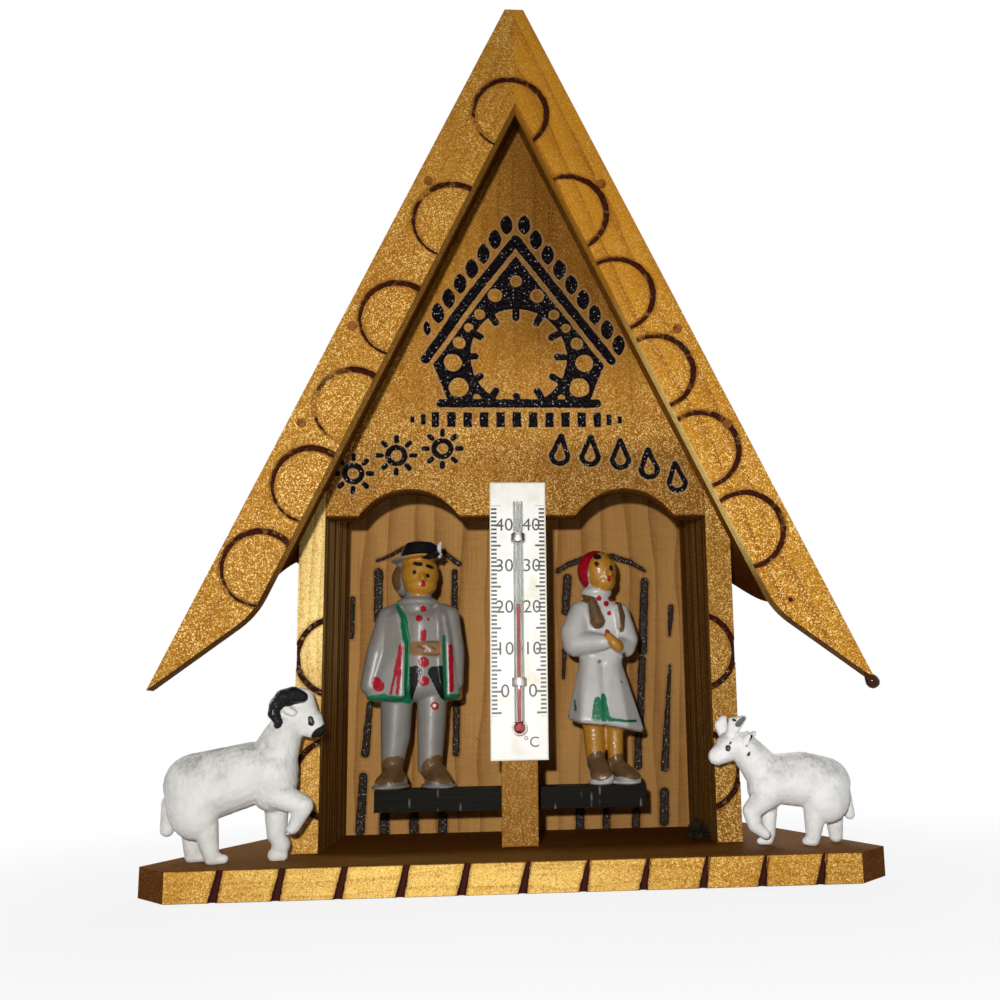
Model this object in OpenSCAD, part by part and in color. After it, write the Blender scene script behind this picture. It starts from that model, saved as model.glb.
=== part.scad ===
// Wooden weather house: two figures hang on a strand of gut that twists with the damp,
// so that one or the other comes out of its door. Millimetres, +Z up, front towards -Y.
// The origin is the centre of the underside of the base.

/* [Base] */
// Widest span of the base, across its cut front corners
base_w = 150.4; // [146:0.2:156]
// Length of the straight front edge
base_front_w = 135; // [130:0.5:142]
// Length of the rear edge
base_rear_w = 117; // [110:0.5:124]
// Depth from front to rear
base_d = 65; // [65:0.5:72]
// Thickness of the board
base_t = 6; // [5:0.1:7]
// How far back each front corner is cut
corner_cut = 8.8; // [6:0.2:12]

/* [Walls] */
// Span across the outer faces of the side walls
house_w = 97.2; // [96:0.2:99]
// Thickness of a side wall
wall_t = 5.6; // [5:0.1:6]
// Porch in front of the walls
porch_d = 21.8; // [20:0.2:24]
// Room between the wall fronts and the back wall
cabin_d = 36.2; // [35:0.2:37]
// Thickness of the back wall
back_t = 5; // [4:0.1:6]

/* [Roof] */
// Pitch of the roof in degrees
roof_slope = 64.8; // [64:0.1:66]
// Height where the outer roof lines would meet
apex_h = 188.2; // [186:0.2:190]
// Height of the blunt top of the bargeboards
top_h = 184; // [183:0.2:185]
// Height of the flat on the ridge
ridge_h = 181.8; // [181:0.1:182.5]
// Width of a bargeboard, square to its slope
barge_w = 11.2; // [10:0.1:12]
// Thickness of a bargeboard
barge_t = 4; // [3:0.1:5]
// How far the bargeboards stand in front of the base
barge_front = 7.5; // [6:0.1:9]
// Half span of the bargeboard tips
tip_x = 69.8; // [67:0.2:72]
// Half span of the corners where the bargeboard tails begin
corner_x = 50.8; // [49:0.2:53]
// How far from each of these corners the edge is rounded off
corner_soft = 4; // [2:0.5:6]
// Thickness of a roof panel
panel_t = 4.7; // [4:0.1:5]
// How far the panels lie below the outer edge of the bargeboards
panel_drop = 0.3; // [0.2:0.1:0.6]
// Half span of the eaves in front
eave_x = 55.8; // [53:0.2:58]
// How far the eaves sweep up the slope towards the rear
eave_lift = 14; // [10:0.5:15]
// Depth at which the left eave begins to sweep up
left_sweep_at = 4; // [2:0.5:8]
// Depth over which the left eave sweeps up
left_sweep = 32; // [28:1:40]
// Depth at which the right eave begins to sweep up
right_sweep_at = 16; // [12:0.5:20]
// Depth over which the right eave sweeps up
right_sweep = 46; // [40:1:50]
// How far the roof stands out behind the back wall
rear_overhang = 6.5; // [3:0.5:10]

/* [Gable and doors] */
// Height of the lower edge of the gable
gable_h = 78.9; // [78.4:0.1:80]
// Thickness of the gable and the door post
gable_t = 5; // [4:0.1:5.5]
// Half spacing of the door arches
arch_x = 24.5; // [23:0.1:26]
// Span of a door arch
arch_w = 22.6; // [20:0.2:25]
// Rise of a door arch
arch_rise = 6.2; // [5:0.1:7]
// Width of the door post
post_w = 8; // [6:0.2:9]

/* [Burnt lines] */
// Radius of the rings on the wall fronts
wall_ring_r = 8.4; // [8:0.1:9]
// Width of a burnt line
line_w = 1.1; // [0.8:0.1:1.4]
// Depth of a burnt line
line_d = 0.5; // [0.3:0.1:0.8]

/* [Thermometer] */
// Width of the scale
scale_w = 12.6; // [11:0.2:14]
// Height of the scale
scale_h = 62; // [58:0.5:64]
// Height of its lower edge
scale_z = 24.6; // [22:0.2:26]
// Thickness of the scale
scale_t = 1; // [0.8:0.1:1.2]
// Diameter of the glass tube
tube_d = 2.2; // [1.8:0.1:2.4]

/* [Turnstile] */
// Place of the swing axis behind the centre of the base
pivot_y = 4.3; // [4:0.1:5]
// Length of the beam
beam_l = 61.6; // [58:0.2:62]
// Depth of the beam
beam_d = 9; // [8:0.2:9.4]
// Thickness of the beam
beam_t = 4.9; // [4:0.1:5]
// Height of its underside
beam_z = 13.3; // [12:0.1:13.4]
// Offset of its middle from the swing axis, which balances the two figures
beam_shift = -2; // [-3:0.1:0]
// Diameter of the gut strand
gut_d = 0.9; // [0.6:0.1:1]
// Diameter of the hanger stem
stem_d = 2.6; // [2.2:0.1:3]
// Diameter of the knob's shank
shank_d = 4; // [3.6:0.1:4.2]
// Place of the man along the beam
man_x = -23.4; // [-24:0.1:-23]
// Place of the woman along the beam
woman_x = 20.2; // [20:0.1:21]

/* [Sheep] */
// Place of the ram's shoulder to the left of centre
ram_x = -52; // [-53:0.2:-51.4]
// Line that the ram stands on
ram_y = -20.5; // [-21.5:0.2:-19.5]
// Place of the ewe's shoulder to the right of centre
ewe_x = 53.2; // [52.6:0.2:54]
// Line that the ewe stands on
ewe_y = -17.2; // [-18.2:0.2:-17]

/* [Hidden] */
$fn = 48;

PINE = [0.75, 0.55, 0.2];
DARK_PINE = [0.36, 0.25, 0.12];
PALE_PINE = [0.6, 0.44, 0.26];
STEEL = [0.5, 0.5, 0.5];
BRASS = [0.75, 0.6, 0.25];
WHITE = [0.9, 0.9, 0.88];
BLACK = [0.1, 0.11, 0.1];

// Planes of the house
front_y = -base_d / 2;
wall_y = front_y + porch_d;
back_y = wall_y + cabin_d;
house_back = back_y + back_t;
out_x = house_w / 2;
in_x = out_x - wall_t;

// Roof lines: an inset is measured square to the slope, from the outer bargeboard edge
rise = tan(roof_slope);
run = cos(roof_slope);
barge_y = front_y - barge_front;
panel_y = barge_y + barge_t;
panel_end = house_back + rear_overhang;
under = panel_drop + panel_t;
function roof_z(x, inset) = apex_h - inset / run - rise * x;

// Rings on the bargeboards, burnt by hand: span, height and radius of each
right_rings = [[-1, 159.7, 7.7], [10.7, 137.3, 8.2], [20.5, 119.5, 7.7], [28.4, 102.9, 7.6],
    [37, 86.5, 7.7], [45.4, 69.9, 7.6]];
left_rings = [[1, 159.7, 7.7], [13.1, 135.3, 7.9], [24, 113.8, 7.6], [32.7, 95.4, 7.5],
    [40.5, 79.3, 7.4], [49.8, 62.9, 7.2]];

// Rings on the wall fronts: their heights, and how far their centres lie in the doorway
wall_ring_z = [21.5, 47.8];
wall_ring_in = 3;

// Strokes on the front of the base
stroke_count = 11;
stroke_pitch = 11.72;
stroke_shift = 0.85;
stroke_lean = 12;

// Fits and fasteners
glue_gap = 0.02;
run_gap = 0.05;
pass_gap = 0.4;
brad_d = 1.2;
brad_l = 10;
brad_head_d = 1.9;
brad_head_t = 0.3;
brad_inset = 2.6;
brad_x = [18, 33, 42.5];
nail_d = 1.6;
nail_l = 16;
nail_head_d = 3.2;
nail_head_t = 0.8;
nail_sunk = 0.2;
nail_x = (out_x + in_x) / 2;
nail_places = [for (x = [-nail_x, nail_x], y = [wall_y + 8, house_back - 8]) [x, y],
    for (x = [-22, 22]) [x, back_y + back_t / 2]];

// Turnstile and its hanging
beam_top = beam_z + beam_t;
stem_top = 60;
gut_bottom = stem_top - 6;
block_bottom = 156;
block_top = 171;
block_l = 14;
shank_bottom = block_bottom - 3;
knob_z = ridge_h + pass_gap;
knob_top = knob_z + 5.8;
knob_r = 5.2;

// Facets round a limb of the moulded figures
limb_fn = 18;

// Thermometer tube
tube_y = wall_y - scale_t - 1.8;
bulb_r = 1.7;
bulb_z = scale_z + 7;
tube_top = bulb_z + 50;
bore_d = 0.8;
spirit_top = bulb_z + 27;

// A profile drawn in x and z, run from y0 to y1
module along_y(y0, y1) {
    translate([0, y1, 0])
        rotate([90, 0, 0])
            linear_extrude(y1 - y0)
                children();
}

// A tapered round limb from a to b
module limb(a, b, ra, rb) {
    hull() {
        translate(a)
            sphere(ra, $fn = limb_fn);
        translate(b)
            sphere(rb, $fn = limb_fn);
    }
}

// A flat-soled shape with round ends, l long in y and w wide
module sole(l, w, h) {
    linear_extrude(h) {
        for (y = [-1, 1])
            translate([0, y * (l - w) / 2])
                circle(d = w);
        square([w, l - w], center = true);
    }
}

// Cutter for a burnt ring on a face at y
module ring_groove(x, y, z, r) {
    translate([x, y + line_d, z])
        rotate([90, 0, 0])
            difference() {
                cylinder(h = 2 * line_d, r = r + line_w / 2);
                translate([0, 0, -line_d])
                    cylinder(h = 4 * line_d, r = r - line_w / 2);
            }
}

// Cutters for the nails driven up through the base
module nail_holes() {
    for (p = nail_places)
        translate([p.x, p.y, -1]) {
            cylinder(h = nail_l + 2, d = nail_d + 2 * glue_gap);
            cylinder(h = 1 + nail_sunk + nail_head_t, d = nail_head_d + 2 * glue_gap);
        }
}

// Cutters for the brads of one side
module brad_holes() {
    for (x = brad_x)
        translate([x, barge_y - 1, roof_z(x, brad_inset)])
            rotate([-90, 0, 0])
                cylinder(h = brad_l + 2, d = brad_d + 2 * glue_gap);
}

module base_board() {
    color(PINE)
        difference() {
            linear_extrude(base_t)
                polygon([[-base_front_w / 2, front_y], [base_front_w / 2, front_y],
                    [base_w / 2, front_y + corner_cut], [base_rear_w / 2, base_d / 2],
                    [-base_rear_w / 2, base_d / 2], [-base_w / 2, front_y + corner_cut]]);
            for (i = [0 : stroke_count - 1])
                translate([(i - (stroke_count - 1) / 2) * stroke_pitch + stroke_shift, front_y, base_t / 2])
                    rotate([0, stroke_lean, 0])
                        cube([line_w, 2 * line_d, 2 * base_t], center = true);
            nail_holes();
        }
}

// The right wall; the left one is its mirror image
module wall() {
    difference() {
        along_y(wall_y, house_back)
            polygon([[in_x, base_t], [out_x, base_t], [out_x, roof_z(out_x, under)],
                [in_x, roof_z(in_x, under)]]);
        for (z = wall_ring_z)
            ring_groove(in_x - wall_ring_in, wall_y, z, wall_ring_r);
        nail_holes();
    }
}

module right_wall() {
    color(PINE)
        wall();
}

module left_wall() {
    color(PINE)
        mirror([1, 0, 0])
            wall();
}

module back_wall() {
    color(PALE_PINE)
        difference() {
            along_y(back_y, house_back)
                polygon([[-in_x, base_t], [in_x, base_t], [in_x, roof_z(in_x, under)],
                    [0, roof_z(0, under)], [-in_x, roof_z(in_x, under)]]);
            nail_holes();
        }
}

module front_gable() {
    arch_r = (pow(arch_w / 2, 2) + pow(arch_rise, 2)) / (2 * arch_rise);
    color(PINE)
        along_y(wall_y, wall_y + gable_t)
            difference() {
                polygon([[-in_x, gable_h], [in_x, gable_h], [in_x, roof_z(in_x, under)],
                    [0, roof_z(0, under)], [-in_x, roof_z(in_x, under)]]);
                for (side = [-1, 1])
                    translate([side * arch_x, gable_h + arch_rise - arch_r])
                        circle(arch_r);
            }
}

module door_post() {
    color(PINE)
        translate([-post_w / 2, wall_y, base_t])
            cube([post_w, gable_t, gable_h - base_t]);
}

// Length of a panel down the slope at depth d, where its eave sweeps up from start on
function eave_l(d, start, long) =
    let (t = min(1, max(0, (d - start) / long)))
        eave_x / run - eave_lift * t * t * (3 - 2 * t);

// A right-hand roof panel, mitred at the ridge and cut flat on top
module roof_panel(start, long) {
    miter_l = panel_t * rise;
    depth = panel_end - panel_y;
    sweep = [for (i = [0 : 16]) start + long * i / 16];
    difference() {
        intersection() {
            translate([0, panel_y, roof_z(0, under)])
                rotate([0, roof_slope, 0])
                    linear_extrude(panel_t)
                        polygon(concat([[-miter_l, 0], [eave_x / run, 0]],
                            [for (d = sweep) [eave_l(d, start, long), d]],
                            [[eave_x / run - eave_lift, depth], [-miter_l, depth]]));
            translate([0, panel_y - 1, 0])
                cube([2 * eave_x, depth + 2, ridge_h]);
        }
        brad_holes();
        translate([0, pivot_y, block_top])
            cylinder(h = ridge_h - block_top + 1, d = shank_d + 2 * pass_gap);
    }
}

module right_roof_panel() {
    color(DARK_PINE)
        roof_panel(right_sweep_at, right_sweep);
}

module left_roof_panel() {
    color(DARK_PINE)
        mirror([1, 0, 0])
            roof_panel(left_sweep_at, left_sweep);
}

// The right bargeboard with its rings; the left one is a mirror image with its own rings
module bargeboard(rings) {
    corner = [corner_x, roof_z(corner_x, barge_w)];
    tip = [tip_x, roof_z(tip_x, 0)];
    before = corner + corner_soft * [-run, sin(roof_slope)];
    past = corner + corner_soft * (tip - corner) / norm(tip - corner);
    bend = [for (t = [0 : 1 / 6 : 1.01])
        (1 - t) * (1 - t) * before + 2 * t * (1 - t) * corner + t * t * past];
    difference() {
        along_y(barge_y, panel_y)
            polygon(concat([[0, roof_z(0, barge_w)]], bend,
                [tip, [(apex_h - top_h) / rise, top_h], [0, top_h]]));
        for (ring = rings)
            ring_groove(ring[0], barge_y, ring[1], ring[2]);
        brad_holes();
    }
}

module right_bargeboard() {
    color(PINE)
        bargeboard(right_rings);
}

module left_bargeboard() {
    color(PINE)
        mirror([1, 0, 0])
            bargeboard(left_rings);
}

module ridge_block() {
    low = (roof_z(0, under) - block_bottom) / rise;
    high = (roof_z(0, under) - block_top) / rise;
    color(PINE)
        difference() {
            along_y(pivot_y - block_l / 2, pivot_y + block_l / 2)
                polygon([[-low, block_bottom], [low, block_bottom], [high, block_top],
                    [-high, block_top]]);
            translate([0, pivot_y, block_bottom - 1])
                cylinder(h = block_top - block_bottom + 2, d = shank_d + 2 * run_gap);
        }
}

module bargeboard_brads() {
    color(STEEL)
        for (side = [-1, 1], x = brad_x)
            translate([side * x, barge_y, roof_z(x, brad_inset)])
                rotate([-90, 0, 0]) {
                    cylinder(h = brad_l, d = brad_d);
                    translate([0, 0, -brad_head_t])
                        cylinder(h = brad_head_t, d = brad_head_d);
                }
}

module base_nails() {
    color(STEEL)
        for (p = nail_places)
            translate([p.x, p.y, nail_sunk]) {
                cylinder(h = nail_l - nail_sunk, d = nail_d);
                cylinder(h = nail_head_t, d = nail_head_d);
            }
}

module thermometer_scale() {
    color(WHITE)
        translate([-scale_w / 2, wall_y - scale_t, scale_z])
            cube([scale_w, scale_t, scale_h]);
}

// Glass tube with a bulb below, open at the top end of its fine bore
module thermometer_tube() {
    color([0.8, 0.9, 0.95, 0.5])
        translate([0, tube_y, bulb_z])
            difference() {
                union() {
                    cylinder(h = tube_top - bulb_z, d = tube_d);
                    sphere(bulb_r);
                }
                cylinder(h = tube_top - bulb_z + 1, d = bore_d);
                sphere(bulb_r - bore_d / 2);
            }
}

module thermometer_spirit() {
    color([0.7, 0.05, 0.05])
        translate([0, tube_y, bulb_z]) {
            cylinder(h = spirit_top - bulb_z, d = bore_d - 2 * glue_gap);
            sphere(bulb_r - bore_d / 2 - glue_gap);
        }
}

// Two straps that hold the tube to the scale
module thermometer_clips() {
    strap_r = tube_d / 2 + run_gap;
    strap_t = 0.45;
    strap_h = 1.8;
    reach = wall_y - scale_t - tube_y;
    color(STEEL)
        for (z = [bulb_z + 9, tube_top - 9])
            translate([0, tube_y, z])
                linear_extrude(strap_h)
                    difference() {
                        union() {
                            circle(strap_r + strap_t);
                            translate([-strap_r - strap_t, 0])
                                square([2 * (strap_r + strap_t), reach]);
                        }
                        circle(strap_r);
                        translate([-strap_r, 0])
                            square([2 * strap_r, reach + 1]);
                    }
}

// The ram walks to the right, with one foreleg raised and curled horns
module ram_figure() {
    color(WHITE)
        translate([ram_x, ram_y, base_t])
            intersection() {
                union() {
                    limb([-13.5, 0, 14.6], [0, 0, 16.2], 6.6, 6.4);
                    limb([0.5, 0, 18], [3.6, 0, 27.5], 5.2, 3.6);
                    limb([4, 0, 28.6], [10.2, 0, 25.2], 3.6, 1.8);
                    limb([1.6, -2.2, 13], [1.6, -2.2, 1], 2.4, 1.5);
                    limb([3, 2.2, 12], [9, 2.2, 11.4], 2.3, 1.5);
                    limb([9, 2.2, 11.4], [6, 2.2, 6.2], 1.5, 1.3);
                    limb([-9.6, -2.6, 12], [-9.6, -2.6, 1], 2.8, 1.5);
                    limb([-14, 2.6, 12], [-14.6, 2.6, 1], 2.8, 1.5);
                    limb([-19, 0, 14], [-20, 0, 6.6], 1.4, 0.8);
                    for (side = [-1, 1])
                        translate([3.4, side * 3.4, 30.4])
                            rotate([90, 0, 0])
                                rotate_extrude($fn = limb_fn)
                                    translate([2.9, 0])
                                        circle(1.4, $fn = limb_fn);
                }
                translate([-40, -20, 0])
                    cube([80, 40, 60]);
            }
}

// The ewe walks to the left, with one foreleg raised
module ewe_figure() {
    color(WHITE)
        translate([ewe_x, ewe_y, base_t])
            intersection() {
                union() {
                    limb([1, 0, 13.2], [13.6, 0, 12], 5.4, 5.3);
                    limb([0, 0, 14], [-4.4, 0, 21], 4.2, 3);
                    limb([-4.6, 0, 22.4], [-10.6, 0, 20.8], 3, 1.5);
                    for (side = [-1, 1])
                        limb([-4.2, side * 2, 24.6], [-3, side * 4, 25.6], 1, 0.6);
                    limb([-0.6, -2, 10], [-0.6, -2, 1], 2.2, 1.4);
                    limb([0, 2, 10], [-6, 2, 9], 2, 1.3);
                    limb([-6, 2, 9], [-2.6, 2, 3], 1.3, 1.1);
                    limb([9.4, -2.2, 10], [9, -2.2, 1], 2.4, 1.4);
                    limb([14.4, 2.2, 10], [15.2, 2.2, 1], 2.4, 1.4);
                    limb([18.2, 0, 12], [18.6, 0, 6], 1.2, 0.7);
                }
                translate([-40, -20, 0])
                    cube([80, 40, 60]);
            }
}

// Dried moss in the front right corner of the room
module moss_tuft() {
    tuft_r = 3.4;
    color([0.12, 0.1, 0.04])
        intersection() {
            translate([in_x - 3, wall_y + 6, base_t + 1.6])
                sphere(tuft_r);
            translate([0, wall_y, base_t])
                cube([in_x, 2 * tuft_r + 6, 2 * tuft_r]);
        }
}

// Turned button on the ridge, with a shank bored for the gut
module adjusting_knob() {
    bore_r = gut_d / 2 + run_gap;
    shank_r = shank_d / 2;
    color(PINE)
        translate([0, pivot_y, 0])
            rotate_extrude()
                polygon([[bore_r, shank_bottom], [shank_r, shank_bottom], [shank_r, knob_z],
                    [knob_r - 0.8, knob_z], [knob_r, knob_z + 1.4], [knob_r - 0.4, knob_z + 3.6],
                    [knob_r - 2.4, knob_top], [bore_r, knob_top]]);
}

module gut_strand() {
    color([0.8, 0.68, 0.42])
        translate([0, pivot_y, gut_bottom])
            cylinder(h = knob_top - gut_bottom, d = gut_d);
}

module hanger_stem() {
    color(BRASS)
        translate([0, pivot_y, beam_z])
            difference() {
                cylinder(h = stem_top - beam_z, d = stem_d);
                translate([0, 0, gut_bottom - beam_z])
                    cylinder(h = stem_top - gut_bottom + 1, d = gut_d + 2 * glue_gap);
            }
}

module turnstile_beam() {
    color(BLACK)
        difference() {
            translate([beam_shift - beam_l / 2, pivot_y - beam_d / 2, beam_z])
                cube([beam_l, beam_d, beam_t]);
            translate([0, pivot_y, beam_z - 1])
                cylinder(h = beam_t + 2, d = stem_d + 2 * glue_gap);
        }
}

// Man in a long open coat and a round hat, standing with the feet apart
module man_figure() {
    coat_d = 11;
    hem_z = 21.4;
    color(WHITE)
        translate([man_x, pivot_y, beam_top]) {
            for (side = [-1, 1]) {
                translate([side * 5.4, -1.4, 0])
                    rotate([0, 0, side * 14])
                        sole(9.6, 5.2, 4.6);
                translate([side * 4.8, 0, 3])
                    cylinder(h = hem_z, r1 = 3, r2 = 3.9);
            }
            intersection() {
                along_y(-coat_d, coat_d)
                    polygon([[-10.8, hem_z], [10.8, hem_z], [8, 40.6], [3.4, 44.6],
                        [-3.4, 44.6], [-8, 40.6]]);
                translate([0, 0, hem_z])
                    rotate([0, 0, 90])
                        sole(2 * 10.8, coat_d, 30);
            }
            translate([0, 0, 43])
                cylinder(h = 5, r = 2.6);
            translate([0, 0, 49.2])
                sphere(4.7);
            translate([0, 0, 53.2])
                rotate_extrude()
                    polygon([[0, 0], [7, 0], [7.2, 0.7], [4.5, 1.2], [4.1, 4], [0, 4.3]]);
        }
}

// Woman with puffed sleeves, folded hands and a headscarf
module woman_figure() {
    hem_z = 13.6;
    color(WHITE)
        translate([woman_x, pivot_y, beam_top]) {
            for (side = [-1, 1]) {
                translate([side * 2.9 + 0.6, -1, 0])
                    rotate([0, 0, side * 10])
                        sole(9.2, 5, 4.8);
                translate([side * 2.7, 0, 3])
                    cylinder(h = hem_z, r1 = 2.4, r2 = 2.8);
            }
            translate([0, 0, hem_z])
                cylinder(h = 19, r1 = 8.4, r2 = 5.6);
            translate([0, 0, hem_z + 19])
                cylinder(h = 10.6, r1 = 5.6, r2 = 4.4);
            for (side = [-1, 1]) {
                limb([side * 6, 0, 39], [side * 6.8, -1.4, 33], 3, 2.5);
                limb([side * 6.8, -1.4, 33], [side * 1, -5.2, 34.4], 2.5, 1.5);
            }
            translate([0, 0, 42])
                cylinder(h = 5, r = 2.5);
            translate([0, 0, 49.8])
                sphere(5);
        }
}

base_board();
left_wall();
right_wall();
back_wall();
front_gable();
door_post();
left_roof_panel();
right_roof_panel();
left_bargeboard();
right_bargeboard();
ridge_block();
bargeboard_brads();
base_nails();
thermometer_scale();
thermometer_tube();
thermometer_spirit();
thermometer_clips();
ram_figure();
ewe_figure();
moss_tuft();
adjusting_knob();
gut_strand();
hanger_stem();
turnstile_beam();
man_figure();
woman_figure();
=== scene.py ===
import functools
import math

import bmesh
import bpy
from mathutils import Euler, Matrix, Vector, noise

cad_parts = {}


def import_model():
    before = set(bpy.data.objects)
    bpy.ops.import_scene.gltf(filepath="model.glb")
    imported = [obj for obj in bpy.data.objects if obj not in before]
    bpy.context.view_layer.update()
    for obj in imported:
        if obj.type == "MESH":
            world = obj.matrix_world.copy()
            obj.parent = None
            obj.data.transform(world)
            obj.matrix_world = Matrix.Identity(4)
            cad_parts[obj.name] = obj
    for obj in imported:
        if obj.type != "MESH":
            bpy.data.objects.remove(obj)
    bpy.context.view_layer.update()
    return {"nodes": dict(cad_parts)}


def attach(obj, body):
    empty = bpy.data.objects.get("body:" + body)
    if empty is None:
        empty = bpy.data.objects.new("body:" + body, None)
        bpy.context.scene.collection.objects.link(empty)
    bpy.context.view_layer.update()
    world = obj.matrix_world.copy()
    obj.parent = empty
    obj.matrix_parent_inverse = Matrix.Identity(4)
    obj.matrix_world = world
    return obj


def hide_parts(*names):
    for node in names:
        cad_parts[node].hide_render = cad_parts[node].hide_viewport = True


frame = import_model()
cad = frame["nodes"]
MM = 0.001


# Base board: one flat pine board with its front corners cut off, varnished golden.
# Slanted strokes are burnt into its front edge with a hot wedge, so each is
# narrow at the top and wide at the bottom.
class Shade:
    """A number, place or colour in a material, with which ordinary sums can be written."""

    def __init__(self, tree, socket):
        self.tree, self.socket, self.parts = tree, socket, None

    def part(self, axis):
        if not self.parts:
            self.parts = lay(self.tree, "SeparateXYZ", self).socket.node.outputs
        return Shade(self.tree, self.parts[axis])

    def other(self, output):
        """Another output of the same node."""
        return Shade(self.tree, self.socket.node.outputs[output])

    def __add__(self, value):
        return work("ADD", self, value)

    def __sub__(self, value):
        return work("SUBTRACT", self, value)

    def __rsub__(self, value):
        return work("SUBTRACT", value, self)

    def __mul__(self, value):
        return work("MULTIPLY", self, value)

    def __truediv__(self, value):
        return work("DIVIDE", self, value)

    def __abs__(self):
        return work("ABSOLUTE", self)

    x = property(lambda self: self.part("X"))
    y = property(lambda self: self.part("Y"))
    z = property(lambda self: self.part("Z"))


def tree_of(*values):
    return next(value.tree for value in values if isinstance(value, Shade))


def join(socket, value):
    """Feeds a node's socket with another node's value, a number, a place or a colour."""
    if isinstance(value, Shade):
        value.tree.links.new(value.socket, socket)
    elif value is not None:
        socket.default_value = (*value, 1) if socket.type == "RGBA" else value


def lay(tree, kind, *feeds, output=0, **settings):
    """Lays a shader node in a tree, feeds its sockets in order and gives one output."""
    node = tree.nodes.new("ShaderNode" + kind)
    for name, value in settings.items():
        setattr(node, name, value)
    for socket, feed in zip(node.inputs, feeds):
        join(socket, feed)
    return Shade(tree, node.outputs[output])


def work(operation, *values):
    """One step of a sum: of plain numbers, or of places where any of the values is one."""
    plain = all(value.socket.type == "VALUE" if isinstance(value, Shade) else not isinstance(value, tuple)
                for value in values)
    number = plain or operation in ("LENGTH", "DISTANCE", "DOT_PRODUCT")
    return lay(tree_of(*values), "Math" if plain else "VectorMath", *values,
               operation=operation, output="Value" if number else "Vector")


def most(*values):
    return functools.reduce(lambda a, b: work("MAXIMUM", a, b), values)


def clip(value, low=0.0, high=1.0):
    return lay(value.tree, "Clamp", value, low, high)


def rounded(value):
    return work("ROUND", value)


def ramp(value, start, end, low=0.0, high=1.0, kind="SMOOTHSTEP"):
    """Goes from low to high as a value goes from start to end."""
    return lay(value.tree, "MapRange", value, start, end, low, high, interpolation_type=kind)


def tint(share, under, over):
    """Lays one colour over another by a mask."""
    tree = tree_of(share, under, over)
    node = tree.nodes.new("ShaderNodeMix")
    node.data_type = "RGBA"
    for slot, feed in zip((0, 6, 7), (share, under, over)):
        join(node.inputs[slot], feed)
    return Shade(tree, node.outputs[2])


def cloud(point, scale, detail=2.0, rough=0.5):
    """Soft noise."""
    return lay(point.tree, "TexNoise", point, None, scale, detail, rough)


def cells(point, scale):
    """Distance to scattered dots; its other output Color differs from dot to dot."""
    return lay(point.tree, "TexVoronoi", point, None, scale)


def facing(point):
    """The way that the surface looks."""
    return lay(point.tree, "TexCoord", output="Normal")


def bumped(height, strength, depth):
    """A surface raised by a height, with depth in millimetres."""
    node = height.tree.nodes.new("ShaderNodeBump")
    for name, feed in (("Strength", strength), ("Distance", depth * MM), ("Height", height)):
        join(node.inputs[name], feed)
    return Shade(height.tree, node.outputs[0])


def shared_effect(name, inputs, outputs):
    """Starts a shader node group with named sockets; inputs give their kind and default."""
    group = bpy.data.node_groups.new(name, "ShaderNodeTree")
    for title, (kind, value) in inputs.items():
        socket = group.interface.new_socket(title, in_out="INPUT", socket_type="NodeSocket" + kind)
        socket.default_value = value
    for title, kind in outputs.items():
        group.interface.new_socket(title, in_out="OUTPUT", socket_type="NodeSocket" + kind)
    given = group.nodes.new("NodeGroupInput").outputs
    taken = group.nodes.new("NodeGroupOutput").inputs
    return group, {title: Shade(group, given[title]) for title in inputs}, taken


def use(group, **feeds):
    """Puts a shared effect in a material and gives its outputs by name."""
    tree = tree_of(*feeds.values())
    node = tree.nodes.new("ShaderNodeGroup")
    node.node_tree = group
    for name, feed in feeds.items():
        join(node.inputs[name], feed)
    return {socket.name: Shade(tree, socket) for socket in node.outputs}


# Pine grain in millimetres, running along X: growth bands with sharp dark edges, fine
# fibres, rays across them and slow clouds of colour.
pine_grain, give, take = shared_effect(
    "pine_grain",
    {"Grain": ("Vector", (0, 0, 0)), "Pale": ("Color", (1, 1, 1, 1)), "Deep": ("Color", (0, 0, 0, 1)),
     "Bands": ("Float", 0.3), "Figure": ("Float", 0.6)},
    {"Colour": "Color", "Height": "Float"})
grain = give["Grain"]
drift = cloud(grain * (0.018, 0.3, 0.1), 1.0)
band = work("FRACT", (grain.z + grain.y * 0.45 + drift * 9.0) * give["Bands"])
band = work("POWER", band, 3.0) * ramp(band, 1.0, 0.93)
fibre = cloud(grain * (0.06, 2.6, 2.6), 1.0, 3.0, 0.65)
rays = cloud(grain * (2.4, 0.25, 0.25), 1.0, 2.0, 0.6)
hue = cloud(grain * (0.03, 0.09, 0.09), 1.0)
share = band * give["Figure"] + (fibre - 0.5) * 0.8 + (rays - 0.5) * 0.5 + (hue - 0.4) * 0.9
join(take["Colour"], tint(clip(share), give["Pale"], give["Deep"]))
join(take["Height"], fibre - band * 0.4)

# Thick brushed varnish: a pimpled skin and a few pits, with painted glints: bright specks laid into
# the colour where a lamp would glitter in the varnish, and dark specks that go with them.
varnish_glints, give, take = shared_effect(
    "varnish_glints", {"Point": ("Vector", (0, 0, 0))},
    {"Glint": "Float", "DarkSpeck": "Float", "Pit": "Float", "Height": "Float"})
point = give["Point"]
chance = cells(point, 4.8).other("Color")
join(take["Glint"], ramp(chance.x, 0.62, 1.0) * ramp(cloud(point, 0.14), 0.3, 0.62, 0.55, 1.0))
join(take["DarkSpeck"], ramp(chance.y, 0.5, 1.0))
pits = cells(point, 0.17)
join(take["Pit"], ramp(pits, 0.07, 0.03) * ramp(pits.other("Color").z, 0.7, 0.75))
join(take["Height"], cloud(point, 1.7, 2.0, 0.6))
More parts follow.
